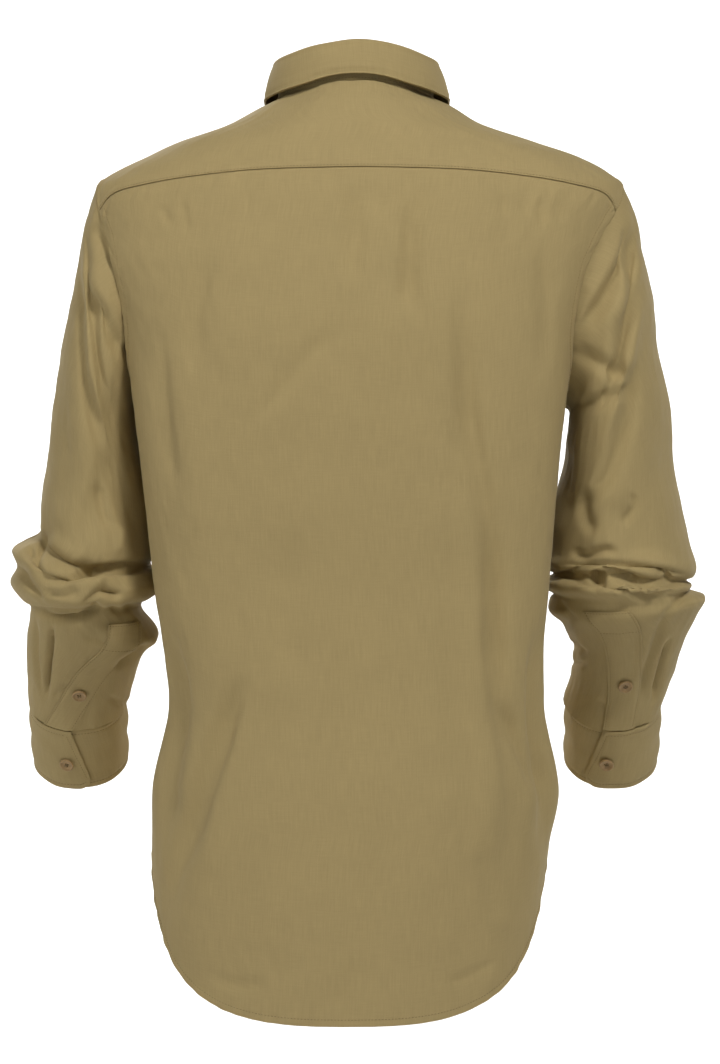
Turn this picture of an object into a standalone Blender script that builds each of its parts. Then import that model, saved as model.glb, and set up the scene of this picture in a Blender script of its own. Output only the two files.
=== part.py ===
"""A long-sleeved button-down shirt, hollow as when it is worn, built from the pieces that it is sewn from.

Frame: metres, +Z up, the front of the shirt towards -Y, the wearer's left towards +X.
The origin is the middle of the back neck seam's height, on the neck's own axis.
The tables hold millimetres, because that is how a garment is measured.

The torso is one smooth form of level rings, read from a table. Each body panel is a patch of that form between
its own seam lines, given a wall's thickness. A sleeve is a run of rings through four points each: the outer, back,
inner and front point. Collar, cuffs, plackets and buttons are laid on the pieces that carry them.
"""

from collections import namedtuple

import bmesh
import bpy
import numpy as np

MM = 0.001

# Driving sizes, in millimetres
CLOTH = 1.2  # wall of a single layer
BAND = 1.8  # wall of the collar and cuffs, which are doubled and stiffened
SEAM_GAP = 0.4  # between pieces that are sewn together
LAY_GAP = 0.4  # under a piece that lies on another
NECK_HALF_WIDTH = 66.0
NECK_BACK = 61.0
NECK_FRONT = -62.0
ARMHOLE_TOP = -73.0
ARMHOLE_BOTTOM = -262.0
ARMHOLE_HALF_DEPTH = 72.0
ARMHOLE_MIDDLE = -5.0  # how far back the armhole's axis lies
YOKE_BACK_ANGLE = 49.0  # where the back yoke seam meets the armhole, from its top
YOKE_FRONT_ANGLE = -34.0
YOKE_NECK_ANGLE = 125.0  # where the front yoke seam meets the neck, from its back
SIDE_SEAM_HEIGHT = -608.0  # the side seam's lower end
BACK_TAIL = -762.0
FRONT_TAIL = -735.0
FRONT_OVERLAP = 17.0  # each front past the centre line
BUTTON_RADIUS = 6.2
BUTTON_THICKNESS = 2.6
CUFF_HEIGHT = 64.0
CUFF_LEAN = 36.0  # degrees that the forearm leans forward at the cuff
SLEEVE_PLACKET_WIDTH = 27.0
SLEEVE_PLACKET_ROWS = 3.6  # of the sleeve's table, up from the cuff

KHAKI = (0.345, 0.275, 0.148, 1.0)
BUTTON_TAN = (0.21, 0.135, 0.06, 1.0)

Ring = namedtuple("Ring", "height half_width shift back front widest squareness")
TORSO = [
    Ring(10, 50, 0, 52, -30, -4, 2.0),
    Ring(0, 58, 0, 61, -36, -4, 2.0),
    Ring(-9, 66, 0, 69, -40, -3, 2.0),
    Ring(-16, 80, 0, 75, -43, -3, 2.05),
    Ring(-30.5, 105, 1, 84, -48, -2, 2.1),
    Ring(-46, 149, 0, 91, -55, 0, 2.15),
    Ring(-59, 181, -5, 96, -62, 3, 2.2),
    Ring(-71, 204, -4, 100, -70, 6, 2.25),
    Ring(-84, 219, -2.5, 104, -79, 9, 2.3),
    Ring(-96, 221, -1.5, 107, -87, 12, 2.35),
    Ring(-130, 212, 3, 114, -107, 20, 2.4),
    Ring(-154, 203, 6, 118, -119, 26, 2.45),
    Ring(-211, 184, 6, 122, -133, 38, 2.5),
    Ring(-260, 177, 6, 121, -137, 44, 2.5),
    Ring(-341, 168, 5, 116, -135, 46, 2.5),
    Ring(-423, 160, 4, 109, -130, 44, 2.4),
    Ring(-460, 156, 3, 109, -128, 41, 2.35),
    Ring(-505, 154.5, 0.5, 109, -127, 34, 2.3),
    Ring(-582, 168, 1, 114, -127, 16, 2.2),
    Ring(-632, 163.5, 5.5, 117, -127, 10, 2.2),
    Ring(-700, 160, 8, 119, -128, 8, 2.2),
    Ring(-775, 160, 8, 120, -128, 6, 2.2),
]

# Soft folds of the torso: the angle round from the middle of the back at the fold's two ends, its half-width
# in degrees, and how far it stands out (or, if negative, sinks in).
Fold = namedtuple("Fold", "top bottom top_angle bottom_angle half_width depth")
TORSO_FOLDS = [
    Fold(-100, -700, -22, -34, 6, -3.5),
    Fold(-300, -690, -40, -52, 6, -4.5),
    Fold(-90, -300, -9, -11, 4, -2.5),
    Fold(-90, -270, 2, 3, 4, -2.5),
    Fold(-300, -620, -28, -42, 6, 3.0),
    Fold(-470, -690, 34, 66, 6, -6.0),
    Fold(-430, -640, 72, 66, 9, -11.0),
    Fold(-430, -640, -74, -70, 8, -11.0),
    Fold(-200, -640, 44, 40, 8, 2.5),
    Fold(-180, -560, 150, 160, 9, -4.0),
    Fold(-180, -560, -150, -158, 9, -4.0),
    Fold(-330, -700, 128, 134, 9, -6.0),
    Fold(-330, -700, -126, -136, 9, -6.0),
]

# Height of the back yoke seam, from the middle of the back (0) to the armhole (1)
YOKE_SEAM = [(0, -74), (0.25, -75.5), (0.5, -80.5), (0.7, -86), (0.86, -91), (1, -105.5)]

# Each sleeve ring by its four points. x is away from the body's middle, y is back.
Cuts = namedtuple("Cuts", "outer_x outer_z inner_x inner_z back_y back_z front_y front_z")
LEFT_SLEEVE = [
    Cuts(223, -85, 180, -262, 70, -176, -77, -182),
    Cuts(226, -106, 183, -266, 70, -190, -78, -196),
    Cuts(230, -137, 183, -273, 69, -209, -80, -213),
    Cuts(237, -172, 182, -284, 66, -232, -84, -234),
    Cuts(246, -214, 180, -300, 62, -260, -88, -258),
    Cuts(253, -262, 176, -321, 57, -294, -93, -290),
    Cuts(259, -306, 172, -344, 52, -328, -98, -322),
    Cuts(264, -343, 170, -366, 48, -360, -102, -352),
    Cuts(265, -360, 169, -385, 46, -388, -104, -376),
    Cuts(266, -368, 172, -394, 38, -399, -97, -390),
    Cuts(278, -374, 167, -399, 48, -401, -104, -395),
    Cuts(289, -382, 165, -404, 55, -406, -108, -400),
    Cuts(284, -395, 163, -409, 57, -416, -108, -405),
    Cuts(289, -408, 165, -416, 54, -426, -106, -411),
    Cuts(281, -421, 172, -421, 44, -430, -100, -417),
    Cuts(273, -428, 180, -426, 36, -430, -95, -420),
    Cuts(274, -437, 180, -434, 32, -438, -95, -424),
    Cuts(277, -454, 167, -455, 12, -463, -94, -436),
    Cuts(279, -478, 182, -473, -12, -486, -102, -453),
    Cuts(280, -496, 190, -493, -36, -512, -111, -472),
    Cuts(280, -511, 195, -511, -52, -535, -118, -487),
]
RIGHT_SLEEVE = [
    Cuts(228, -85, 174, -262, 70, -176, -77, -182),
    Cuts(233, -106, 177, -266, 70, -190, -78, -196),
    Cuts(237, -137, 177, -273, 69, -209, -80, -213),
    Cuts(246, -172, 176, -284, 66, -232, -84, -234),
    Cuts(250, -214, 173, -300, 62, -260, -88, -258),
    Cuts(261, -262, 168, -321, 57, -294, -93, -290),
    Cuts(264, -306, 163, -344, 52, -328, -98, -322),
    Cuts(271, -343, 161, -366, 48, -360, -102, -352),
    Cuts(279, -378, 159, -384, 46, -386, -104, -378),
    Cuts(284, -394, 157, -393, 49, -396, -106, -388),
    Cuts(282, -404, 160, -399, 46, -401, -102, -393),
    Cuts(276, -407, 165, -402, 41, -404, -98, -397),
    Cuts(277, -409, 160, -405, 46, -408, -102, -400),
    Cuts(280, -411, 157, -409, 54, -412, -106, -404),
    Cuts(279, -413.5, 159, -415, 53, -418, -105, -409),
    Cuts(277, -415.5, 165, -419, 44, -423, -98, -413),
    Cuts(284, -417.5, 162, -423, 38, -428, -95, -418),
    Cuts(292, -422, 161, -433, 34, -438, -96, -424),
    Cuts(285, -436, 172, -444, 20, -452, -97, -434),
    Cuts(275, -458, 181, -461, -4, -476, -101, -450),
    Cuts(268, -486, 182, -488, -32, -506, -110, -469),
    Cuts(260, -511, 176, -511, -52, -535, -118, -487),
]

# Creases of the upper sleeves: the ring number and angle at the crease's two ends, its half-width in degrees,
# and how far it stands out or sinks in. Angle 0 is the outer side, 90 the back, 180 the inner side.
Crease = namedtuple("Crease", "top_ring bottom_ring top_angle bottom_angle half_width depth")
LEFT_CREASES = [
    Crease(0.8, 3.9, 40, 108, 11, -6),
    Crease(1.6, 5.4, 30, 106, 11, -6),
    Crease(0.8, 4.6, 22, 104, 9, 3),
    Crease(4.6, 8.0, 118, 70, 14, -4),
    Crease(2.0, 7.6, -50, -80, 14, -5),
    Crease(1.0, 5.0, 230, 260, 14, -5),
]
RIGHT_CREASES = [
    Crease(0.6, 3.8, 28, 108, 12, -7),
    Crease(2.2, 5.0, 40, 112, 12, 4),
    Crease(3.4, 6.6, 60, 120, 12, -6),
    Crease(6.2, 8.4, 96, 70, 16, -4),
    Crease(2.0, 7.6, -50, -80, 14, -5),
    Crease(1.0, 5.0, 230, 260, 14, -5),
]


def smooth_step(t):
    t = np.clip(t, 0.0, 1.0)
    return t * t * (3 - 2 * t)


def along(xs, ys, x):
    """A smooth curve through the points (xs, ys), read at x, which never swings past them."""
    xs, ys = np.asarray(xs, float), np.asarray(ys, float)
    if xs[0] > xs[-1]:
        xs, ys = xs[::-1], ys[::-1]
    step = np.diff(xs)
    slope = np.diff(ys) / step
    tangent = np.zeros_like(ys)
    tangent[0], tangent[-1] = slope[0], slope[-1]
    before, after = slope[:-1], slope[1:]
    turning = before * after <= 0
    w1, w2 = 2 * step[1:] + step[:-1], step[1:] + 2 * step[:-1]
    safe = np.where(turning, 1.0, w1 / np.where(before == 0, 1, before) + w2 / np.where(after == 0, 1, after))
    tangent[1:-1] = np.where(turning, 0.0, (w1 + w2) / safe)
    x = np.clip(x, xs[0], xs[-1])
    i = np.clip(np.searchsorted(xs, x) - 1, 0, len(step) - 1)
    t = (x - xs[i]) / step[i]
    h = step[i]
    return (
        ys[i] * (1 + 2 * t) * (1 - t) ** 2
        + ys[i + 1] * t * t * (3 - 2 * t)
        + h * tangent[i] * t * (1 - t) ** 2
        - h * tangent[i + 1] * t * t * (1 - t)
    )


def through(rows, at):
    """A Catmull-Rom curve through a table's rows, read at fractional row numbers. It may swing a little past them."""
    rows = np.asarray(rows, float)
    ends = np.vstack([2 * rows[0] - rows[1], rows, 2 * rows[-1] - rows[-2]])
    at = np.asarray(at, float)
    i = np.clip(np.floor(at).astype(int), 0, len(rows) - 2)
    t = (at - i)[..., None]
    p0, p1, p2, p3 = ends[i], ends[i + 1], ends[i + 2], ends[i + 3]
    return 0.5 * (
        2 * p1 + (p2 - p0) * t + (2 * p0 - 5 * p1 + 4 * p2 - p3) * t**2 + (3 * p1 - p0 - 3 * p2 + p3) * t**3
    )


def ring_sizes(z):
    heights = [ring.height for ring in TORSO]
    return {name: along(heights, [getattr(ring, name) for ring in TORSO], z) for name in Ring._fields[1:]}


def torso(angle, z):
    """Points of the torso's outer face. Angle 0 is the middle of the back, 90 the wearer's left, 180 the front."""
    angle, z = np.broadcast_arrays(np.asarray(angle, float), np.asarray(z, float))
    size = ring_sizes(z)
    across, back = np.sin(np.radians(angle)), np.cos(np.radians(angle))
    power = 2 / size["squareness"]
    x = size["half_width"] * np.sign(across) * np.abs(across) ** power
    depth = np.where(back > 0, size["back"] - size["widest"], size["widest"] - size["front"])
    y = depth * np.sign(back) * np.abs(back) ** power
    reach = np.hypot(x, y)
    grown = (reach + torso_folds(angle, z)) / reach
    return np.stack([x * grown + size["shift"], y * grown + size["widest"], z], axis=-1)


def torso_folds(angle, z):
    total = np.zeros_like(z)
    for fold in TORSO_FOLDS:
        t = (fold.top - z) / (fold.top - fold.bottom)
        middle = fold.top_angle + (fold.bottom_angle - fold.top_angle) * t
        offset = (angle - middle + 180) % 360 - 180
        total += fold.depth * swell(t) * np.exp(-((offset / fold.half_width) ** 2))
    return total


def swell(t):
    """Rises from 0 at the fold's ends to 1 along its middle."""
    return smooth_step(t / 0.3) * smooth_step((1 - t) / 0.3)


def height_over(x, y):
    """Height of the torso's face straight above a point of the plan, found by halving."""
    x, y = np.broadcast_arrays(np.asarray(x, float), np.asarray(y, float))
    low, high = np.full(x.shape, -200.0), np.full(x.shape, 10.0)
    for _ in range(40):
        middle = (low + high) / 2
        size = ring_sizes(middle)
        depth = np.where(y > size["widest"], size["back"] - size["widest"], size["widest"] - size["front"])
        inside = (
            np.abs((x - size["shift"]) / size["half_width"]) ** size["squareness"]
            + np.abs((y - size["widest"]) / depth) ** size["squareness"]
        ) < 1
        low, high = np.where(inside, middle, low), np.where(inside, high, middle)
    return (low + high) / 2


def angle_at(x_sign, y, z):
    """Angle round the torso of the point at depth y on one side, at height z."""
    size = ring_sizes(np.asarray(z, float))
    depth = np.where(y > size["widest"], size["back"] - size["widest"], size["widest"] - size["front"])
    share = np.clip((y - size["widest"]) / depth, -1, 1)
    back = np.sign(share) * np.abs(share) ** (size["squareness"] / 2)
    return x_sign * np.degrees(np.arccos(back))


def angle_over(x, y, z):
    """As angle_at, for a plan point near the middle line, where the side is read from x."""
    size = ring_sizes(np.asarray(z, float))
    depth = np.where(y > size["widest"], size["back"] - size["widest"], size["widest"] - size["front"])
    power = size["squareness"] / 2
    u, v = (x - size["shift"]) / size["half_width"], (y - size["widest"]) / depth
    across, back = np.sign(u) * np.abs(u) ** power, np.sign(v) * np.abs(v) ** power
    return np.degrees(np.arctan2(across, back)) % 360


def armhole(side, turn):
    """(angle, height) on the torso of the armhole's edge. Turn 0 is its top, 90 its back, 180 the armpit."""
    turn = np.radians(np.asarray(turn, float))
    middle, half = (ARMHOLE_TOP + ARMHOLE_BOTTOM) / 2, (ARMHOLE_TOP - ARMHOLE_BOTTOM) / 2
    z = middle + half * np.cos(turn)
    y = ARMHOLE_MIDDLE + ARMHOLE_HALF_DEPTH * np.sin(turn)
    return angle_at(side, y, z), z


def neckline(turn):
    """(angle, height) on the torso of the neck's edge. Turn 0 is the back, 90 the wearer's left, 180 the front."""
    turn = np.radians(np.asarray(turn, float))
    x = NECK_HALF_WIDTH * np.sin(turn)
    middle, half = (NECK_BACK + NECK_FRONT) / 2, (NECK_BACK - NECK_FRONT) / 2
    y = middle + half * np.cos(turn)
    z = height_over(x, y)
    return angle_over(x, y, z), z


def patch(bottom, top, left, right):
    """Fills a patch of (angle, height) between four edges, each an array of points; opposite edges match in number."""
    u = np.linspace(0, 1, len(bottom))[None, :, None]
    v = np.linspace(0, 1, len(left))[:, None, None]
    sides = (1 - v) * bottom[None] + v * top[None] + (1 - u) * left[:, None] + u * right[:, None]
    corners = (
        (1 - u) * (1 - v) * bottom[0] + u * (1 - v) * bottom[-1] + (1 - u) * v * top[0] + u * v * top[-1]
    )
    return sides - corners


def pair(angle, z):
    return np.stack(np.broadcast_arrays(np.asarray(angle, float), np.asarray(z, float)), axis=-1)


def wall(name, outer, inner, material, loop=False):
    """One closed solid from a grid of outer points and the grid of inner points under them, in millimetres."""
    rows, columns = outer.shape[:2]
    mesh = bmesh.new()
    faces = [
        [[mesh.verts.new(point * MM) for point in row] for row in grid] for grid in (outer, inner)
    ]
    spans = [(c, (c + 1) % columns) for c in range(columns if loop else columns - 1)]
    over, under = faces
    for r in range(rows - 1):
        for a, b in spans:
            mesh.faces.new((over[r][a], over[r][b], over[r + 1][b], over[r + 1][a]))
            mesh.faces.new((under[r][a], under[r + 1][a], under[r + 1][b], under[r][b]))
    for r in (0, rows - 1):
        for a, b in spans:
            mesh.faces.new((over[r][a], under[r][a], under[r][b], over[r][b]))
    if not loop:
        for c in (0, columns - 1):
            for r in range(rows - 1):
                mesh.faces.new((over[r][c], over[r + 1][c], under[r + 1][c], under[r][c]))
    bmesh.ops.recalc_face_normals(mesh, faces=mesh.faces)
    return finish(name, mesh, material)


def finish(name, mesh, material):
    data = bpy.data.meshes.new(name)
    mesh.to_mesh(data)
    mesh.free()
    data.materials.append(material)
    data.shade_smooth()
    data.set_sharp_from_angle(angle=np.radians(40))
    made = bpy.data.objects.new(name, data)
    bpy.context.scene.collection.objects.link(made)
    return made


def make_material(name, colour, roughness):
    made = bpy.data.materials.new(name)
    made.use_nodes = True
    shader = made.node_tree.nodes["Principled BSDF"]
    shader.inputs["Base Color"].default_value = colour
    shader.inputs["Roughness"].default_value = roughness
    shader.inputs["Metallic"].default_value = 0.0
    return made


def body_wall(name, places, material, lift=0.0):
    """A panel of the torso over a grid of (angle, height) places. Lift moves it out; it may differ by column."""
    grid = torso(places[..., 0], places[..., 1])
    out = torso_normals(places)
    lift = np.broadcast_to(lift, grid.shape[:2])[..., None]
    outer = grid + out * lift
    return wall(name, outer, outer - out * CLOTH, material)


def torso_normals(places):
    """Normals of the torso's form itself, from points a little to each side."""
    angle, z = places[..., 0], places[..., 1]
    around = torso(angle + 0.4, z) - torso(angle - 0.4, z)
    down = torso(angle, z - 0.8) - torso(angle, z + 0.8)
    found = np.cross(down, around)
    found /= np.linalg.norm(found, axis=-1, keepdims=True)
    size = ring_sizes(z)
    outward = torso(angle, z) - np.stack([size["shift"], size["widest"], z - 40], axis=-1)
    return np.where((found * outward).sum(axis=-1, keepdims=True) < 0, -found, found)


def side_seam(side, z):
    return pair(angle_at(side, ARMHOLE_MIDDLE, z), z)


def yoke_seam(share, side):
    """Places along the back yoke seam, share 0 at the middle of the back and 1 at the armhole."""
    end_angle, _ = armhole(side, YOKE_BACK_ANGLE)
    share = np.asarray(share, float)
    z = along([s for s, _ in YOKE_SEAM], [height for _, height in YOKE_SEAM], share)
    return pair(end_angle * share, z)


def hem(share, side, tail):
    """Places along the hem, share 0 at the middle of the tail and 1 at the side seam."""
    end = side_seam(side, SIDE_SEAM_HEIGHT)
    share = np.asarray(share, float)
    middle = 0.0 if tail == BACK_TAIL else side * 180.0
    z = tail + (SIDE_SEAM_HEIGHT - tail) * share**2.7
    return pair(middle + (end[0] - middle) * share, z)


# How many strips each piece is divided into. Pieces that are sewn together share their edges' points.
BODY_ROWS = 12  # of the side seam, from the hem to the armpit
BACK_ARM = 10  # of the armhole behind, from the armpit up to the yoke
FRONT_ARM = 8  # of the armhole in front
YOKE_ARM = 8  # of the armhole on the yoke
YOKE_BACK = 9  # of the yoke's back seam, each side of the middle
YOKE_FRONT = 6  # of the yoke's front seam
FRONT_NECK = 5  # of the neck on each front

YOKE_TURNS = np.linspace(YOKE_FRONT_ANGLE, YOKE_BACK_ANGLE, YOKE_ARM + 1)
BACK_TURNS = np.linspace(YOKE_BACK_ANGLE, 180, BACK_ARM + 1)
FRONT_TURNS = np.linspace(180, 360 + YOKE_FRONT_ANGLE, FRONT_ARM + 1)

# The same round the neck, from the middle of the back
YOKE_NECK_TURNS = np.concatenate(
    [np.linspace(0, 74, YOKE_BACK + 1), np.linspace(74, YOKE_NECK_ANGLE, YOKE_ARM + 1)[1:]]
)
OVERLAP_TURN = np.degrees(np.arcsin(FRONT_OVERLAP / NECK_HALF_WIDTH))
FRONT_NECK_TURNS = np.append(
    np.linspace(YOKE_NECK_ANGLE, 180 - OVERLAP_TURN, FRONT_NECK - 1), (180, 180 + OVERLAP_TURN)
)


def both_ways(turns):
    return np.concatenate([-turns[::-1], turns[1:]])


STAND_TURNS = both_ways(np.concatenate([YOKE_NECK_TURNS, FRONT_NECK_TURNS[1:]]))


def side_edge(side, turns, back):
    """Places from the hem up the side seam, then up the armhole's back or front edge."""
    seam = side_seam(side, np.linspace(SIDE_SEAM_HEIGHT, ARMHOLE_BOTTOM, BODY_ROWS + 1))
    seam[:, 0] += (-side if back else side) * np.degrees(SEAM_GAP / 2 / 100)
    return np.vstack([seam, pair(*armhole(side, turns))])


def make_back(material):
    share = np.linspace(-1, 1, 2 * YOKE_BACK + 1)
    bottom = np.vstack([hem(abs(s), 1 if s > 0 else -1, BACK_TAIL) for s in share])
    top = np.vstack([yoke_seam(abs(s), 1 if s > 0 else -1) for s in share])
    top[:, 1] -= SEAM_GAP
    turns = BACK_TURNS[::-1][1:]
    left, right = side_edge(-1, turns, True), side_edge(1, turns, True)
    left[-1], right[-1], bottom[0], bottom[-1] = top[0], top[-1], left[0], right[0]
    return body_wall("back", patch(bottom, top, left, right), material)


def yoke_edges(side):
    """The yoke's outer edge and neck edge, from the middle of the back round to the front seam."""
    seam = yoke_seam(np.linspace(0, 1, YOKE_BACK + 1), side)
    outer = np.vstack([seam, pair(*armhole(side, YOKE_TURNS[::-1][1:]))])
    neck = pair(*neckline(YOKE_NECK_TURNS * side))
    neck[:, 0] = signed(neck[:, 0], side)
    return outer, neck


def signed(angle, side):
    """Angles as measured from the back towards one side: 0 to 360 on the left, 0 to -360 on the right."""
    turned = (np.asarray(angle) * side + 90) % 360 - 90
    return turned * side


def make_yoke(material):
    left, right = yoke_edges(1), yoke_edges(-1)
    outer = np.vstack([right[0][::-1], left[0][1:]])
    neck = np.vstack([right[1][::-1], left[1][1:]])
    starts, ends = (front_seam(side)[::-1] for side in (-1, 1))
    return body_wall("yoke", patch(outer, neck, starts, ends), material)


def front_seam(side, forward=0.0):
    """Places along the front yoke seam, from the neck out to the armhole, straight when seen from above."""
    start = torso(*neckline(YOKE_NECK_ANGLE * side))
    end = torso(*armhole(side, YOKE_FRONT_ANGLE))
    share = np.linspace(0, 1, YOKE_FRONT + 1)
    x, y = start[0] + (end[0] - start[0]) * share, start[1] + (end[1] - start[1]) * share - forward
    z = height_over(x, y)
    return pair(signed(angle_over(x, y, z), side), z)


def front_places(side):
    """The grid of one front, from its centre edge to its side, from the hem to the yoke and neck.

    Its first two strips are straight and lie on both sides of the middle line, under the buttonhole band.
    """
    neck = pair(*neckline(FRONT_NECK_TURNS[::-1] * side))
    neck[:, 0] = signed(neck[:, 0], side)
    seam = front_seam(side, forward=SEAM_GAP)
    edge = side_edge(side, FRONT_TURNS[1:], False)
    edge[-1] = seam[-1]
    rows = len(edge)
    strips = []
    for across, top in zip((-FRONT_OVERLAP, 0, FRONT_OVERLAP), neck[:3, 1]):
        z = np.linspace(FRONT_TAIL, top, rows)
        strips.append(pair(front_angle(side, across, z), z))
    top = np.vstack([neck[2:-1], seam])
    top[0] = strips[2][-1]
    bottom = hem(np.linspace(0, 1, len(top)), side, FRONT_TAIL)
    start = (strips[2][0, 0] - bottom[-1, 0]) / (bottom[0, 0] - bottom[-1, 0])
    bottom = hem(np.linspace(1 - start, 1, len(top)), side, FRONT_TAIL)
    bottom[0], bottom[-1] = strips[2][0], edge[0]
    rest = patch(bottom, top, strips[2], edge)
    return np.concatenate([np.stack(strips[:2], axis=1), rest], axis=1)


def front_angle(side, across, z):
    """Angle round the torso of a point of the front, across from the middle line towards the given side."""
    size = ring_sizes(z)
    straight = smooth_step((z + 112) / 50)  # near the neck the middle line stays in the middle
    share = (across - side * size["shift"] * straight) / size["half_width"]
    return side * (180 - np.degrees(np.arcsin(np.sign(share) * np.abs(share) ** (size["squareness"] / 2))))


def make_front(side, name, material):
    places = front_places(side)
    if side > 0:
        return body_wall(name, places, material)
    x = torso(places[..., 0], places[..., 1])[..., 0]
    under = smooth_step((x + 55) / 35)  # this front dips below the other near the middle
    return body_wall(name, places, material, lift=-(CLOTH + LAY_GAP + 0.2) * under)


def make_placket(material):
    """The buttonhole band on the wearer's left front, down its whole edge."""
    places = front_places(1)[:, :3].copy()
    places[-1, :, 1] -= 2.5
    places[0, :, 1] += 1.0
    return body_wall("front_placket", places, material, lift=CLOTH + LAY_GAP + 0.1)


SLEEVE_TURNS = np.concatenate([YOKE_TURNS[:-1], BACK_TURNS[:-1], FRONT_TURNS[:-1]])


def sleeve(side, at, turn):
    """Points of a sleeve's outer face. At counts its table's rows; turn 0 is its outer side, 90 its back."""
    rows, creases = (LEFT_SLEEVE, LEFT_CREASES) if side > 0 else (RIGHT_SLEEVE, RIGHT_CREASES)
    at, turn = np.broadcast_arrays(np.asarray(at, float), np.asarray(turn, float))
    face = four_point_ring(Cuts(*np.moveaxis(through(rows, at), -1, 0)), turn, side)
    first = four_point_ring(Cuts(*np.asarray(rows[0], float)), turn, side)
    edge = torso(*armhole(side, turn))
    radians = np.radians(turn)
    into_hole = np.stack([0.3 * side * np.ones_like(turn), -np.sin(radians), -np.cos(radians)], axis=-1)
    fade = np.clip(1 - at / 1.7, 0, 1)[..., None] ** 2
    face = face + (edge + into_hole - first) * fade
    middle = four_point_ring(Cuts(*np.moveaxis(through(rows, at), -1, 0)), turn + 180, side)
    spoke = face - middle
    spoke /= np.linalg.norm(spoke, axis=-1, keepdims=True)
    rise = np.zeros_like(turn)
    for crease in creases:
        t = (at - crease.top_ring) / (crease.bottom_ring - crease.top_ring)
        line = crease.top_angle + (crease.bottom_angle - crease.top_angle) * t
        offset = (turn - line + 180) % 360 - 180
        rise += crease.depth * swell(t) * np.exp(-((offset / crease.half_width) ** 2))
    return face + spoke * rise[..., None]


def four_point_ring(cuts, turn, side):
    """The closed curve through a ring's outer, back, inner and front points, with no corner."""
    middle_x, middle_y = (cuts.outer_x + cuts.inner_x) / 2, (cuts.back_y + cuts.front_y) / 2
    points = [
        (cuts.outer_x, middle_y, cuts.outer_z),
        (cuts.inner_x, middle_y, cuts.inner_z),
        (middle_x, cuts.back_y, cuts.back_z),
        (middle_x, cuts.front_y, cuts.front_z),
    ]
    outer, inner, back, front = (np.stack(np.broadcast_arrays(*p), axis=-1) for p in points)
    turn = np.radians(turn)[..., None]
    face = (
        (outer + inner + back + front) / 4
        + np.cos(turn) * (outer - inner) / 2
        + np.sin(turn) * (back - front) / 2
        + np.cos(2 * turn) * (outer + inner - back - front) / 4
    )
    return face * (side, 1, 1)


def sleeve_normals(side, at, turn):
    last = len(LEFT_SLEEVE if side > 0 else RIGHT_SLEEVE) - 1
    at, turn = np.broadcast_arrays(np.asarray(at, float), np.asarray(turn, float))
    above, below = np.clip(at - 0.08, 0, last), np.clip(at + 0.08, 0, last)
    down = sleeve(side, below, turn) - sleeve(side, above, turn)
    around = sleeve(side, at, turn + 2) - sleeve(side, at, turn - 2)
    found = np.cross(around, down) * -side
    return found / np.linalg.norm(found, axis=-1, keepdims=True)


def sleeve_stations(side):
    """The sleeve's rings: closer together where the cloth is bunched over the elbow."""
    last = len(LEFT_SLEEVE if side > 0 else RIGHT_SLEEVE) - 1
    upper = np.array([0, 0.3, 0.8, 1.4, 2.1, 2.8, 3.5, 4.3, 5.1, 5.9, 6.7, 7.4, 8.0])
    return np.concatenate([upper, np.arange(8.5, last - 3.5, 0.5), np.linspace(last - 3.5, last, 6)])


def make_sleeve(side, name, material):
    at, turn = sleeve_stations(side)[:, None], SLEEVE_TURNS[None, :]
    outer = sleeve(side, at, turn)
    return wall(name, outer, outer - sleeve_normals(side, at, turn) * CLOTH, material, loop=True)


# Where the sleeve's band and the cuff's upper end lie round the arm, in degrees at their upper and lower ends
Overlap = namedtuple("Overlap", "band_top band_bottom cuff_top cuff_bottom")
OVERLAPS = {1: Overlap(148, 86, 444, 464), -1: Overlap(122, 104, 464, 484)}


def placket_turn(side, at, share):
    """Angle round the sleeve of a point on its band, share 0 at its outer edge and 1 at its inner edge."""
    last = len(LEFT_SLEEVE if side > 0 else RIGHT_SLEEVE) - 1
    lap = OVERLAPS[side]
    edge = lap.band_bottom + (lap.band_top - lap.band_bottom) * (last - at) / SLEEVE_PLACKET_ROWS
    return edge - np.degrees(SLEEVE_PLACKET_WIDTH / 44) * (1 - share)


def make_sleeve_placket(side, name, material):
    """The band over the sleeve's slit, from the cuff up the back of the forearm."""
    stations = sleeve_stations(side)
    at = stations[stations > stations[-1] - SLEEVE_PLACKET_ROWS][:, None]
    at[-1] -= 0.02
    turn = placket_turn(side, at, np.linspace(0, 1, 4)[None, :])
    outer = sleeve(side, at, turn)
    out = sleeve_normals(side, at, turn)
    outer = outer + out * (CLOTH + 0.95)
    return wall(name, outer, outer - out * CLOTH, material)


def cuff(side, down, turn, lift=0.0):
    """Points of a cuff's outer face, down from its seam. Turn grows from its under end to its upper end."""
    last = Cuts(*(LEFT_SLEEVE if side > 0 else RIGHT_SLEEVE)[-1])
    lean = np.radians(CUFF_LEAN)
    axis = np.array([0, -np.sin(lean), -np.cos(lean)])
    across, back = np.array([1.0, 0, 0]), np.array([0, np.cos(lean), -np.sin(lean)])
    centre = np.array(
        [(last.outer_x + last.inner_x) / 2, (last.back_y + last.front_y) / 2, (last.back_z + last.front_z) / 2]
    )
    down, turn = np.broadcast_arrays(np.asarray(down, float), np.asarray(turn, float))
    radius = (last.outer_x - last.inner_x) / 2 - 2.6 + 2.8 * smooth_step((turn - 85) / 360) + lift
    radians = np.radians(turn)[..., None]
    spoke = np.cos(radians) * across + np.sin(radians) * back
    return (centre + down[..., None] * axis + radius[..., None] * spoke) * (side, 1, 1)


CUFF_START = 85.0  # turn of the cuff's under end


def cuff_places(side, deep, columns):
    """Where a cuff's points lie, as (down, turn), by their shares of its height and of its length."""
    lap = OVERLAPS[side]
    turn = CUFF_START + (lap.cuff_top + (lap.cuff_bottom - lap.cuff_top) * deep - CUFF_START) * columns
    return 0.5 + (CUFF_HEIGHT - 0.5) * deep, turn


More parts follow.
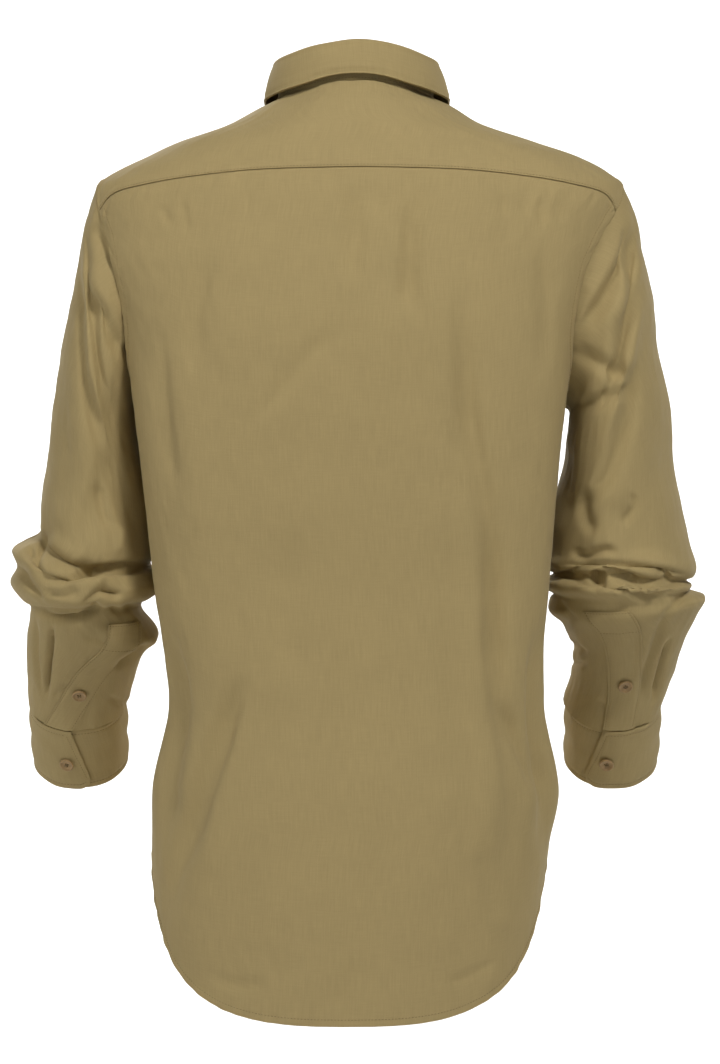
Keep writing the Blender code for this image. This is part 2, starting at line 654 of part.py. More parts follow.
def make_cuff(side, name, material):
    share, columns = np.linspace(0, 1, 5)[:, None], np.linspace(0, 1, 37)[None, :]
    down, turn = cuff_places(side, share, columns)
    return wall(name, cuff(side, down, turn), cuff(side, down, turn, lift=-2.0), material)


STAND_TOP = [(0, 26.5), (90, 24.5), (125, 23.5), (180, 23)]  # height by the turn round the neck


def stand(turn, up, spread=0.0):
    """Points of the collar stand. Turn is the angle round the neck, up its share of the height."""
    turn, up = np.broadcast_arrays(np.asarray(turn, float), np.asarray(up, float))
    base = torso(*neckline(turn))
    height = along([a for a, _ in STAND_TOP], [h for _, h in STAND_TOP], np.abs(turn))
    radians = np.radians(turn)
    out = np.stack([np.sin(radians), np.cos(radians) * 1.05, np.zeros_like(turn)], axis=-1)
    reach = stand_lap(turn) - 1.2 * up + spread
    rise = np.stack([np.zeros_like(up), np.zeros_like(up), 0.45 + height * up], axis=-1)
    return base + out * reach[..., None] + rise


def stand_lap(turn):
    """How far out the stand lies: its right end passes under its left end at the front."""
    return 1.15 * np.clip((turn + 110) / 220 * 2 - 1, -1, 1) - 1.15


def make_stand(material):
    turn, up = STAND_TURNS[None, :], np.linspace(0, 1, 3)[:, None]
    return wall("collar_stand", stand(turn, up), stand(turn, up, spread=-BAND), material)


# The fold's section, measured out from the stand's top edge and up from it, on the face that shows
FOLD = [(-1.8, 0.4), (-1.75, 2.2), (-0.6, 4.3), (1.4, 5.0), (3.3, 3.9), (4.0, 1.6)]
# The lower edge in plan, by its share of the way round to the collar point: (share, across, back, lift)
COLLAR_EDGE = [
    (0.0, 0, 76, 13.0),
    (0.25, 54, 58, 8.0),
    (0.46, 75.2, 6, 3.4),
    (0.62, 75, -28, 3.4),
    (0.78, 68, -55, 3.6),
    (0.90, 56, -73, 3.5),
    (1.0, 43, -83, 3.4),
]


def on_stand_top(turn):
    """Points of the stand's top edge as it is cut into straight strips."""
    points = stand(STAND_TURNS, 1.0)
    return np.stack([np.interp(turn, STAND_TURNS, points[:, i]) for i in range(3)], axis=-1)


def make_collar(material):
    """The collar's fall: up from the stand's top edge, over, and down onto the shirt."""
    turn = both_ways(np.concatenate([YOKE_NECK_TURNS, FRONT_NECK_TURNS[1:-2], [176.0]]))
    share = turn / 176
    root = on_stand_top(turn)
    radians = np.radians(turn)
    out = np.stack([np.sin(radians), np.cos(radians), np.zeros_like(turn)], axis=-1)
    rows = [root + out * across + np.array([0, 0, up]) for across, up in FOLD]
    stations = [row[0] for row in COLLAR_EDGE]
    x, y, lift = (along(stations, [row[i] for row in COLLAR_EDGE], np.abs(share)) for i in (1, 2, 3))
    x = x * np.sign(share)
    edge = np.stack([x, y, height_over(x, y) + lift], axis=-1)
    last = rows[-1]
    for t in np.linspace(0, 1, 6)[1:]:
        bulge = 4 * t * (1 - t) * 1.2
        rows.append(last + (edge - last) * t + out * bulge)
    outer = np.stack(rows)
    found = grid_normals(outer)
    return wall("collar", outer, outer - found * BAND, material)


def grid_normals(grid):
    """Unit normals of an open grid whose rows run round the neck and whose columns run over the fold and down."""
    around, down = np.gradient(grid, axis=1), np.gradient(grid, axis=0)
    found = np.cross(down, around)
    return found / np.linalg.norm(found, axis=-1, keepdims=True)


BUTTON_PROFILE = [(0.72, 0.0), (1.0, 0.4), (0.97, 0.9), (0.78, 1.0), (0.66, 0.72)]  # radius and height, as shares


def make_button(name, centre, out, material):
    """A turned button with a raised rim, its back on the point centre and its face along out."""
    sides = 10
    out = np.asarray(out, float) / np.linalg.norm(out)
    first = np.cross(out, (0.0, 0.0, 1.0))
    first /= np.linalg.norm(first)
    second = np.cross(out, first)
    turn = 2 * np.pi * np.arange(sides) / sides
    spokes = np.cos(turn)[:, None] * first + np.sin(turn)[:, None] * second
    mesh = bmesh.new()
    rings = []
    for share, height in BUTTON_PROFILE:
        points = np.asarray(centre) + out * height * BUTTON_THICKNESS + spokes * share * BUTTON_RADIUS
        rings.append([mesh.verts.new(point * MM) for point in points])
    for lower, upper in zip(rings, rings[1:]):
        for i in range(sides):
            j = (i + 1) % sides
            mesh.faces.new((lower[i], lower[j], upper[j], upper[i]))
    mesh.faces.new(rings[0][::-1])
    mesh.faces.new(rings[-1])
    bmesh.ops.recalc_face_normals(mesh, faces=mesh.faces)
    return finish(name, mesh, material)


def clear_scene():
    for old in list(bpy.data.objects):
        bpy.data.objects.remove(old)


FRONT_BUTTONS = [-120, -212, -304, -396, -488, -580]


def make_front_buttons(material):
    for count, height in enumerate(FRONT_BUTTONS):
        place = pair([180.0], [float(height)])
        out = torso_normals(place)[0]
        point = torso(place[:, 0], place[:, 1])[0] + out * (LAY_GAP + CLOTH + 0.4)
        make_button(f"front_button_{count + 1}", point, out, material)
    up = stand(np.array([180.0]), np.array([0.5]))[0] + np.array([0.0, -0.45, 0.0])
    make_button("stand_button", up, (0.0, -1.0, 0.0), material)


def make_cuff_buttons(side, name, material):
    turn = OVERLAPS[side].cuff_top - 6
    middle, axis_point = (cuff(side, 0.56 * CUFF_HEIGHT, turn, lift) for lift in (0.0, -10.0))
    out = (middle - axis_point) / np.linalg.norm(middle - axis_point)
    make_button(f"{name}_cuff_button", middle + out * 0.45, out, material)
    last = len(LEFT_SLEEVE if side > 0 else RIGHT_SLEEVE) - 1
    at = np.array([last - 1.35])
    turn = placket_turn(side, at, 0.5)
    out = sleeve_normals(side, at, turn)[0]
    point = sleeve(side, at, turn)[0] + out * (CLOTH + 0.95 + 0.4)
    make_button(f"{name}_placket_button", point, out, material)


def main():
    clear_scene()
    khaki = make_material("khaki_cotton", KHAKI, 0.85)
    tan = make_material("button_resin", BUTTON_TAN, 0.4)
    make_back(khaki)
    make_yoke(khaki)
    make_front(1, "front_left", khaki)
    make_front(-1, "front_right", khaki)
    make_placket(khaki)
    make_stand(khaki)
    make_collar(khaki)
    make_front_buttons(tan)
    for side, name in ((1, "left"), (-1, "right")):
        make_sleeve(side, f"{name}_sleeve", khaki)
        make_sleeve_placket(side, f"{name}_sleeve_placket", khaki)
        make_cuff(side, f"{name}_cuff", khaki)
        make_cuff_buttons(side, name, tan)


main()
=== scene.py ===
"""A khaki shirt seen from behind, filled out as when it is worn.

The first part holds the same tables and forms as the solid model. The second part gives them their fine form:
creases, hems, seams, stitches and buttons. The last part sets up light, floor and camera.
Tables hold millimetres; what reaches the scene is in metres.
"""

from collections import namedtuple

import bpy
import numpy as np
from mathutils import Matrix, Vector


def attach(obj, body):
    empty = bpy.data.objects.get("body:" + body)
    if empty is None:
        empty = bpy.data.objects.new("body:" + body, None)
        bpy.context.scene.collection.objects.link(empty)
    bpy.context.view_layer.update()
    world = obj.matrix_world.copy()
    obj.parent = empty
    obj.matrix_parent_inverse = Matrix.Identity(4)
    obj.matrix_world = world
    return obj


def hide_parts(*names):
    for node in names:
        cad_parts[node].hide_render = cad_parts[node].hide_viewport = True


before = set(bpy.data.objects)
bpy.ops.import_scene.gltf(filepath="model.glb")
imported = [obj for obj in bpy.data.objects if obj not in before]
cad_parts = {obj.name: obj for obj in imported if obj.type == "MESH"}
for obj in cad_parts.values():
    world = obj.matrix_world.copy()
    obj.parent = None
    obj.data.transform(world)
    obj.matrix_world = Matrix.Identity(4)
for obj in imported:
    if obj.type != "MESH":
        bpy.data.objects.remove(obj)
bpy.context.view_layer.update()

MM = 0.001

# Driving sizes, in millimetres
CLOTH = 1.2  # wall of a single layer
BAND = 1.8  # wall of the collar and cuffs, which are doubled and stiffened
LAY_GAP = 0.4  # under a piece that lies on another
NECK_HALF_WIDTH = 66.0
NECK_BACK = 61.0
NECK_FRONT = -62.0
ARMHOLE_TOP = -73.0
ARMHOLE_BOTTOM = -262.0
ARMHOLE_HALF_DEPTH = 72.0
ARMHOLE_MIDDLE = -5.0  # how far back the armhole's axis lies
YOKE_BACK_ANGLE = 49.0  # where the back yoke seam meets the armhole, from its top
YOKE_FRONT_ANGLE = -34.0
YOKE_NECK_ANGLE = 125.0  # where the front yoke seam meets the neck, from its back
SIDE_SEAM_HEIGHT = -608.0  # the side seam's lower end
BACK_TAIL = -762.0
FRONT_TAIL = -735.0
FRONT_OVERLAP = 17.0  # each front past the centre line
BUTTON_RADIUS = 6.2
BUTTON_THICKNESS = 2.6
CUFF_HEIGHT = 64.0
CUFF_LEAN = 36.0  # degrees that the forearm leans forward at the cuff
SLEEVE_PLACKET_WIDTH = 27.0
SLEEVE_PLACKET_ROWS = 3.6  # of the sleeve's table, up from the cuff


Ring = namedtuple("Ring", "height half_width shift back front widest squareness")
TORSO = [
    Ring(10, 50, 0, 52, -30, -4, 2.0),
    Ring(0, 58, 0, 61, -36, -4, 2.0),
    Ring(-9, 66, 0, 69, -40, -3, 2.0),
    Ring(-16, 80, 0, 75, -43, -3, 2.05),
    Ring(-30.5, 105, 1, 84, -48, -2, 2.1),
    Ring(-46, 149, 0, 91, -55, 0, 2.15),
    Ring(-59, 181, -5, 96, -62, 3, 2.2),
    Ring(-71, 204, -4, 100, -70, 6, 2.25),
    Ring(-84, 219, -2.5, 104, -79, 9, 2.3),
    Ring(-96, 221, -1.5, 107, -87, 12, 2.35),
    Ring(-130, 212, 3, 114, -107, 20, 2.4),
    Ring(-154, 203, 6, 118, -119, 26, 2.45),
    Ring(-211, 184, 6, 122, -133, 38, 2.5),
    Ring(-260, 177, 6, 121, -137, 44, 2.5),
    Ring(-341, 168, 5, 116, -135, 46, 2.5),
    Ring(-423, 160, 4, 109, -130, 44, 2.4),
    Ring(-460, 156, 3, 109, -128, 41, 2.35),
    Ring(-505, 154.5, 0.5, 109, -127, 34, 2.3),
    Ring(-582, 168, 1, 114, -127, 16, 2.2),
    Ring(-632, 163.5, 5.5, 117, -127, 10, 2.2),
    Ring(-700, 160, 8, 119, -128, 8, 2.2),
    Ring(-775, 160, 8, 120, -128, 6, 2.2),
]

# Soft folds of the torso: the angle round from the middle of the back at the fold's two ends, its half-width
# in degrees, and how far it stands out (or, if negative, sinks in).
Fold = namedtuple("Fold", "top bottom top_angle bottom_angle half_width depth")
TORSO_FOLDS = [
    Fold(-100, -700, -22, -34, 6, -3.5),
    Fold(-300, -690, -40, -52, 6, -4.5),
    Fold(-90, -300, -9, -11, 4, -2.5),
    Fold(-90, -270, 2, 3, 4, -2.5),
    Fold(-300, -620, -28, -42, 6, 3.0),
    Fold(-470, -690, 34, 66, 6, -6.0),
    Fold(-430, -640, 72, 66, 9, -11.0),
    Fold(-430, -640, -74, -70, 8, -11.0),
    Fold(-200, -640, 44, 40, 8, 2.5),
    Fold(-180, -560, 150, 160, 9, -4.0),
    Fold(-180, -560, -150, -158, 9, -4.0),
    Fold(-330, -700, 128, 134, 9, -6.0),
    Fold(-330, -700, -126, -136, 9, -6.0),
]

# Height of the back yoke seam, from the middle of the back (0) to the armhole (1)
YOKE_SEAM = [(0, -74), (0.25, -75.5), (0.5, -80.5), (0.7, -86), (0.86, -91), (1, -105.5)]

# Each sleeve ring by its four points. x is away from the body's middle, y is back.
Cuts = namedtuple("Cuts", "outer_x outer_z inner_x inner_z back_y back_z front_y front_z")
LEFT_SLEEVE = [
    Cuts(223, -85, 180, -262, 70, -176, -77, -182),
    Cuts(226, -106, 183, -266, 70, -190, -78, -196),
    Cuts(230, -137, 183, -273, 69, -209, -80, -213),
    Cuts(237, -172, 182, -284, 66, -232, -84, -234),
    Cuts(246, -214, 180, -300, 62, -260, -88, -258),
    Cuts(253, -262, 176, -321, 57, -294, -93, -290),
    Cuts(259, -306, 172, -344, 52, -328, -98, -322),
    Cuts(264, -343, 170, -366, 48, -360, -102, -352),
    Cuts(265, -360, 169, -385, 46, -388, -104, -376),
    Cuts(266, -368, 172, -394, 38, -399, -97, -390),
    Cuts(278, -374, 167, -399, 48, -401, -104, -395),
    Cuts(289, -382, 165, -404, 55, -406, -108, -400),
    Cuts(284, -395, 163, -409, 57, -416, -108, -405),
    Cuts(289, -408, 165, -416, 54, -426, -106, -411),
    Cuts(281, -421, 172, -421, 44, -430, -100, -417),
    Cuts(273, -428, 180, -426, 36, -430, -95, -420),
    Cuts(274, -437, 180, -434, 32, -438, -95, -424),
    Cuts(277, -454, 167, -455, 12, -463, -94, -436),
    Cuts(279, -478, 182, -473, -12, -486, -102, -453),
    Cuts(280, -496, 190, -493, -36, -512, -111, -472),
    Cuts(280, -511, 195, -511, -52, -535, -118, -487),
]
RIGHT_SLEEVE = [
    Cuts(228, -85, 174, -262, 70, -176, -77, -182),
    Cuts(233, -106, 177, -266, 70, -190, -78, -196),
    Cuts(237, -137, 177, -273, 69, -209, -80, -213),
    Cuts(246, -172, 176, -284, 66, -232, -84, -234),
    Cuts(250, -214, 173, -300, 62, -260, -88, -258),
    Cuts(261, -262, 168, -321, 57, -294, -93, -290),
    Cuts(264, -306, 163, -344, 52, -328, -98, -322),
    Cuts(271, -343, 161, -366, 48, -360, -102, -352),
    Cuts(279, -378, 159, -384, 46, -386, -104, -378),
    Cuts(284, -394, 157, -393, 49, -396, -106, -388),
    Cuts(282, -404, 160, -399, 46, -401, -102, -393),
    Cuts(276, -407, 165, -402, 41, -404, -98, -397),
    Cuts(277, -409, 160, -405, 46, -408, -102, -400),
    Cuts(280, -411, 157, -409, 54, -412, -106, -404),
    Cuts(279, -413.5, 159, -415, 53, -418, -105, -409),
    Cuts(277, -415.5, 165, -419, 44, -423, -98, -413),
    Cuts(284, -417.5, 162, -423, 38, -428, -95, -418),
    Cuts(292, -422, 161, -433, 34, -438, -96, -424),
    Cuts(285, -436, 172, -444, 20, -452, -97, -434),
    Cuts(275, -458, 181, -461, -4, -476, -101, -450),
    Cuts(268, -486, 182, -488, -32, -506, -110, -469),
    Cuts(260, -511, 176, -511, -52, -535, -118, -487),
]

# Creases of the upper sleeves: the ring number and angle at the crease's two ends, its half-width in degrees,
# and how far it stands out or sinks in. Angle 0 is the outer side, 90 the back, 180 the inner side.
Crease = namedtuple("Crease", "top_ring bottom_ring top_angle bottom_angle half_width depth")
LEFT_CREASES = [
    Crease(0.8, 3.9, 40, 108, 11, -6),
    Crease(1.6, 5.4, 30, 106, 11, -6),
    Crease(0.8, 4.6, 22, 104, 9, 3),
    Crease(4.6, 8.0, 118, 70, 14, -4),
    Crease(2.0, 7.6, -50, -80, 14, -5),
    Crease(1.0, 5.0, 230, 260, 14, -5),
]
RIGHT_CREASES = [
    Crease(0.6, 3.8, 28, 108, 12, -7),
    Crease(2.2, 5.0, 40, 112, 12, 4),
    Crease(3.4, 6.6, 60, 120, 12, -6),
    Crease(6.2, 8.4, 96, 70, 16, -4),
    Crease(2.0, 7.6, -50, -80, 14, -5),
    Crease(1.0, 5.0, 230, 260, 14, -5),
]


def smooth_step(t):
    t = np.clip(t, 0.0, 1.0)
    return t * t * (3 - 2 * t)


def along(xs, ys, x):
    """A smooth curve through the points (xs, ys), read at x, which never swings past them."""
    xs, ys = np.asarray(xs, float), np.asarray(ys, float)
    if xs[0] > xs[-1]:
        xs, ys = xs[::-1], ys[::-1]
    step = np.diff(xs)
    slope = np.diff(ys) / step
    tangent = np.zeros_like(ys)
    tangent[0], tangent[-1] = slope[0], slope[-1]
    before, after = slope[:-1], slope[1:]
    turning = before * after <= 0
    w1, w2 = 2 * step[1:] + step[:-1], step[1:] + 2 * step[:-1]
    safe = np.where(turning, 1.0, w1 / np.where(before == 0, 1, before) + w2 / np.where(after == 0, 1, after))
    tangent[1:-1] = np.where(turning, 0.0, (w1 + w2) / safe)
    x = np.clip(x, xs[0], xs[-1])
    i = np.clip(np.searchsorted(xs, x) - 1, 0, len(step) - 1)
    t = (x - xs[i]) / step[i]
    h = step[i]
    return (
        ys[i] * (1 + 2 * t) * (1 - t) ** 2
        + ys[i + 1] * t * t * (3 - 2 * t)
        + h * tangent[i] * t * (1 - t) ** 2
        - h * tangent[i + 1] * t * t * (1 - t)
    )


def through(rows, at):
    """A Catmull-Rom curve through a table's rows, read at fractional row numbers. It may swing a little past them."""
    rows = np.asarray(rows, float)
    ends = np.vstack([2 * rows[0] - rows[1], rows, 2 * rows[-1] - rows[-2]])
    at = np.asarray(at, float)
    i = np.clip(np.floor(at).astype(int), 0, len(rows) - 2)
    t = (at - i)[..., None]
    p0, p1, p2, p3 = ends[i], ends[i + 1], ends[i + 2], ends[i + 3]
    return 0.5 * (
        2 * p1 + (p2 - p0) * t + (2 * p0 - 5 * p1 + 4 * p2 - p3) * t**2 + (3 * p1 - p0 - 3 * p2 + p3) * t**3
    )


def ring_sizes(z):
    heights = [ring.height for ring in TORSO]
    return {name: along(heights, [getattr(ring, name) for ring in TORSO], z) for name in Ring._fields[1:]}


def torso(angle, z):
    """Points of the torso's outer face. Angle 0 is the middle of the back, 90 the wearer's left, 180 the front."""
    angle, z = np.broadcast_arrays(np.asarray(angle, float), np.asarray(z, float))
    size = ring_sizes(z)
    across, back = np.sin(np.radians(angle)), np.cos(np.radians(angle))
    power = 2 / size["squareness"]
    x = size["half_width"] * np.sign(across) * np.abs(across) ** power
    depth = np.where(back > 0, size["back"] - size["widest"], size["widest"] - size["front"])
    y = depth * np.sign(back) * np.abs(back) ** power
    reach = np.hypot(x, y)
    grown = (reach + torso_folds(angle, z)) / reach
    return np.stack([x * grown + size["shift"], y * grown + size["widest"], z], axis=-1)


def torso_folds(angle, z):
    total = np.zeros_like(z)
    for fold in TORSO_FOLDS:
        t = (fold.top - z) / (fold.top - fold.bottom)
        middle = fold.top_angle + (fold.bottom_angle - fold.top_angle) * t
        offset = (angle - middle + 180) % 360 - 180
        total += fold.depth * swell(t) * np.exp(-((offset / fold.half_width) ** 2))
    return total


def swell(t):
    """Rises from 0 at the fold's ends to 1 along its middle."""
    return smooth_step(t / 0.3) * smooth_step((1 - t) / 0.3)


def height_over(x, y):
    """Height of the torso's face straight above a point of the plan, found by halving."""
    x, y = np.broadcast_arrays(np.asarray(x, float), np.asarray(y, float))
    low, high = np.full(x.shape, -200.0), np.full(x.shape, 10.0)
    for _ in range(40):
        middle = (low + high) / 2
        size = ring_sizes(middle)
        depth = np.where(y > size["widest"], size["back"] - size["widest"], size["widest"] - size["front"])
        inside = (
            np.abs((x - size["shift"]) / size["half_width"]) ** size["squareness"]
            + np.abs((y - size["widest"]) / depth) ** size["squareness"]
        ) < 1
        low, high = np.where(inside, middle, low), np.where(inside, high, middle)
    return (low + high) / 2


def angle_at(x_sign, y, z):
    """Angle round the torso of the point at depth y on one side, at height z."""
    size = ring_sizes(np.asarray(z, float))
    depth = np.where(y > size["widest"], size["back"] - size["widest"], size["widest"] - size["front"])
    share = np.clip((y - size["widest"]) / depth, -1, 1)
    back = np.sign(share) * np.abs(share) ** (size["squareness"] / 2)
    return x_sign * np.degrees(np.arccos(back))


def angle_over(x, y, z):
    """As angle_at, for a plan point near the middle line, where the side is read from x."""
    size = ring_sizes(np.asarray(z, float))
    depth = np.where(y > size["widest"], size["back"] - size["widest"], size["widest"] - size["front"])
    power = size["squareness"] / 2
    u, v = (x - size["shift"]) / size["half_width"], (y - size["widest"]) / depth
    across, back = np.sign(u) * np.abs(u) ** power, np.sign(v) * np.abs(v) ** power
    return np.degrees(np.arctan2(across, back)) % 360


def armhole(side, turn):
    """(angle, height) on the torso of the armhole's edge. Turn 0 is its top, 90 its back, 180 the armpit."""
    turn = np.radians(np.asarray(turn, float))
    middle, half = (ARMHOLE_TOP + ARMHOLE_BOTTOM) / 2, (ARMHOLE_TOP - ARMHOLE_BOTTOM) / 2
    z = middle + half * np.cos(turn)
    y = ARMHOLE_MIDDLE + ARMHOLE_HALF_DEPTH * np.sin(turn)
    return angle_at(side, y, z), z


def neckline(turn):
    """(angle, height) on the torso of the neck's edge. Turn 0 is the back, 90 the wearer's left, 180 the front."""
    turn = np.radians(np.asarray(turn, float))
    x = NECK_HALF_WIDTH * np.sin(turn)
    middle, half = (NECK_BACK + NECK_FRONT) / 2, (NECK_BACK - NECK_FRONT) / 2
    y = middle + half * np.cos(turn)
    z = height_over(x, y)
    return angle_over(x, y, z), z


def patch(bottom, top, left, right, u, v):
    """Fills a patch of (angle, height) between four edges of points. u and v share out its columns and rows."""
    u, v = u[None, :, None], v[:, None, None]
    sides = (1 - v) * bottom[None] + v * top[None] + (1 - u) * left[:, None] + u * right[:, None]
    corners = (
        (1 - u) * (1 - v) * bottom[0] + u * (1 - v) * bottom[-1] + (1 - u) * v * top[0] + u * v * top[-1]
    )
    return sides - corners


def pair(angle, z):
    return np.stack(np.broadcast_arrays(np.asarray(angle, float), np.asarray(z, float)), axis=-1)


def torso_normals(places):
    """Normals of the torso's form itself, from points a little to each side."""
    angle, z = places[..., 0], places[..., 1]
    around = torso(angle + 0.4, z) - torso(angle - 0.4, z)
    down = torso(angle, z - 0.8) - torso(angle, z + 0.8)
    found = np.cross(down, around)
    found /= np.linalg.norm(found, axis=-1, keepdims=True)
    size = ring_sizes(z)
    outward = torso(angle, z) - np.stack([size["shift"], size["widest"], z - 40], axis=-1)
    return np.where((found * outward).sum(axis=-1, keepdims=True) < 0, -found, found)


def side_seam(side, z):
    return pair(angle_at(side, ARMHOLE_MIDDLE, z), z)


def yoke_seam(share, side):
    """Places along the back yoke seam, share 0 at the middle of the back and 1 at the armhole."""
    end_angle, _ = armhole(side, YOKE_BACK_ANGLE)
    share = np.asarray(share, float)
    z = along([s for s, _ in YOKE_SEAM], [height for _, height in YOKE_SEAM], share)
    return pair(end_angle * share, z)


def hem(share, side, tail):
    """Places along the hem, share 0 at the middle of the tail and 1 at the side seam."""
    end = side_seam(side, SIDE_SEAM_HEIGHT)
    share = np.asarray(share, float)
    middle = 0.0 if tail == BACK_TAIL else side * 180.0
    z = tail + (SIDE_SEAM_HEIGHT - tail) * share**2.7
    return pair(middle + (end[0] - middle) * share, z)


OVERLAP_TURN = np.degrees(np.arcsin(FRONT_OVERLAP / NECK_HALF_WIDTH))
NECK_END = 180 + OVERLAP_TURN


def signed(angle, side):
    """Angles as measured from the back towards one side: 0 to 360 on the left, 0 to -360 on the right."""
    turned = (np.asarray(angle) * side + 90) % 360 - 90
    return turned * side


def front_seam(side, share, forward=0.0):
    """Places along the front yoke seam, from the neck out to the armhole, straight when seen from above."""
    start = torso(*neckline(YOKE_NECK_ANGLE * side))
    end = torso(*armhole(side, YOKE_FRONT_ANGLE))
    x, y = start[0] + (end[0] - start[0]) * share, start[1] + (end[1] - start[1]) * share - forward
    z = height_over(x, y)
    return pair(signed(angle_over(x, y, z), side), z)


def front_angle(side, across, z):
    """Angle round the torso of a point of the front, across from the middle line towards the given side."""
    size = ring_sizes(z)
    straight = smooth_step((z + 112) / 50)  # near the neck the middle line stays in the middle
    share = (across - side * size["shift"] * straight) / size["half_width"]
    return side * (180 - np.degrees(np.arcsin(np.sign(share) * np.abs(share) ** (size["squareness"] / 2))))


def sleeve(side, at, turn):
    """Points of a sleeve's outer face. At counts its table's rows; turn 0 is its outer side, 90 its back."""
    rows, creases = (LEFT_SLEEVE, LEFT_CREASES) if side > 0 else (RIGHT_SLEEVE, RIGHT_CREASES)
    at, turn = np.broadcast_arrays(np.asarray(at, float), np.asarray(turn, float))
    face = four_point_ring(Cuts(*np.moveaxis(through(rows, at), -1, 0)), turn, side)
    first = four_point_ring(Cuts(*np.asarray(rows[0], float)), turn, side)
    edge = torso(*armhole(side, turn))
    radians = np.radians(turn)
    into_hole = np.stack([0.3 * side * np.ones_like(turn), -np.sin(radians), -np.cos(radians)], axis=-1)
    fade = np.clip(1 - at / 1.7, 0, 1)[..., None] ** 2
    face = face + (edge + into_hole - first) * fade
    middle = four_point_ring(Cuts(*np.moveaxis(through(rows, at), -1, 0)), turn + 180, side)
    spoke = face - middle
    spoke /= np.linalg.norm(spoke, axis=-1, keepdims=True)
    rise = np.zeros_like(turn)
    for crease in creases:
        t = (at - crease.top_ring) / (crease.bottom_ring - crease.top_ring)
        line = crease.top_angle + (crease.bottom_angle - crease.top_angle) * t
        offset = (turn - line + 180) % 360 - 180
        rise += crease.depth * swell(t) * np.exp(-((offset / crease.half_width) ** 2))
    return face + spoke * rise[..., None]


def four_point_ring(cuts, turn, side):
    """The closed curve through a ring's outer, back, inner and front points, with no corner."""
    middle_x, middle_y = (cuts.outer_x + cuts.inner_x) / 2, (cuts.back_y + cuts.front_y) / 2
    points = [
        (cuts.outer_x, middle_y, cuts.outer_z),
        (cuts.inner_x, middle_y, cuts.inner_z),
        (middle_x, cuts.back_y, cuts.back_z),
        (middle_x, cuts.front_y, cuts.front_z),
    ]
    outer, inner, back, front = (np.stack(np.broadcast_arrays(*p), axis=-1) for p in points)
    turn = np.radians(turn)[..., None]
    face = (
        (outer + inner + back + front) / 4
        + np.cos(turn) * (outer - inner) / 2
        + np.sin(turn) * (back - front) / 2
        + np.cos(2 * turn) * (outer + inner - back - front) / 4
    )
    return face * (side, 1, 1)


# Where the sleeve's band and the cuff's upper end lie round the arm, in degrees at their upper and lower ends
Overlap = namedtuple("Overlap", "band_top band_bottom cuff_top cuff_bottom")
OVERLAPS = {1: Overlap(148, 86, 444, 464), -1: Overlap(122, 104, 464, 484)}


def placket_turn(side, at, share):
    """Angle round the sleeve of a point on its band, share 0 at its outer edge and 1 at its inner edge."""
    last = len(LEFT_SLEEVE if side > 0 else RIGHT_SLEEVE) - 1
    lap = OVERLAPS[side]
    edge = lap.band_bottom + (lap.band_top - lap.band_bottom) * (last - at) / SLEEVE_PLACKET_ROWS
    return edge - np.degrees(SLEEVE_PLACKET_WIDTH / 44) * (1 - share)


def cuff(side, down, turn, lift=0.0):
    """Points of a cuff's outer face, down from its seam. Turn grows from its under end to its upper end."""
    last = Cuts(*(LEFT_SLEEVE if side > 0 else RIGHT_SLEEVE)[-1])
    lean = np.radians(CUFF_LEAN)
    axis = np.array([0, -np.sin(lean), -np.cos(lean)])
    across, back = np.array([1.0, 0, 0]), np.array([0, np.cos(lean), -np.sin(lean)])
    centre = np.array(
        [(last.outer_x + last.inner_x) / 2, (last.back_y + last.front_y) / 2, (last.back_z + last.front_z) / 2]
    )
    down, turn = np.broadcast_arrays(np.asarray(down, float), np.asarray(turn, float))
    radius = (last.outer_x - last.inner_x) / 2 - 2.6 + 2.8 * smooth_step((turn - 85) / 360) + lift
    radians = np.radians(turn)[..., None]
    spoke = np.cos(radians) * across + np.sin(radians) * back
    return (centre + down[..., None] * axis + radius[..., None] * spoke) * (side, 1, 1)


CUFF_START = 45.0  # turn of the cuff's under end


def cuff_places(side, deep, columns):
    """Where a cuff's points lie, as (down, turn), by their shares of its height and of its length."""
    lap = OVERLAPS[side]
    turn = CUFF_START + (lap.cuff_top + (lap.cuff_bottom - lap.cuff_top) * deep - CUFF_START) * columns
    return 0.5 + (CUFF_HEIGHT - 0.5) * deep, turn


STAND_TOP = [(0, 26.5), (90, 24.5), (125, 23.5), (180, 23)]  # height by the turn round the neck


def stand(turn, up, spread=0.0):
    """Points of the collar stand. Turn is the angle round the neck, up its share of the height."""
    turn, up = np.broadcast_arrays(np.asarray(turn, float), np.asarray(up, float))
    base = torso(*neckline(turn))
    height = along([a for a, _ in STAND_TOP], [h for _, h in STAND_TOP], np.abs(turn))
    radians = np.radians(turn)
    out = np.stack([np.sin(radians), np.cos(radians) * 1.05, np.zeros_like(turn)], axis=-1)
    reach = stand_lap(turn) - 1.2 * up + spread
    rise = np.stack([np.zeros_like(up), np.zeros_like(up), 0.45 + height * up], axis=-1)
    return base + out * reach[..., None] + rise


def stand_lap(turn):
    """How far out the stand lies: its right end passes under its left end at the front."""
    return 1.15 * np.clip((turn + 110) / 220 * 2 - 1, -1, 1) - 1.15


# The fold's section, measured out from the stand's top edge and up from it, on the face that shows
FOLD = [(-1.8, 0.4), (-1.75, 2.2), (-0.6, 4.3), (1.4, 5.0), (3.3, 3.9), (4.0, 1.6)]
# The lower edge in plan, by its share of the way round to the collar point: (share, across, back, lift)
COLLAR_EDGE = [
    (-0.25, -51, 50.5, 7.6),
    (0.0, 0, 64.5, 9.0),
    (0.25, 51, 50.5, 7.6),
    (0.36, 66.5, 31, 4.8),
    (0.46, 75.2, 6, 3.4),
    (0.62, 75, -28, 3.4),
    (0.78, 68, -55, 3.6),
    (0.90, 56, -73, 3.5),
    (1.0, 43, -83, 3.4),
]


FRONT_BUTTONS = [-120, -212, -304, -396, -488, -580]


# Fine form

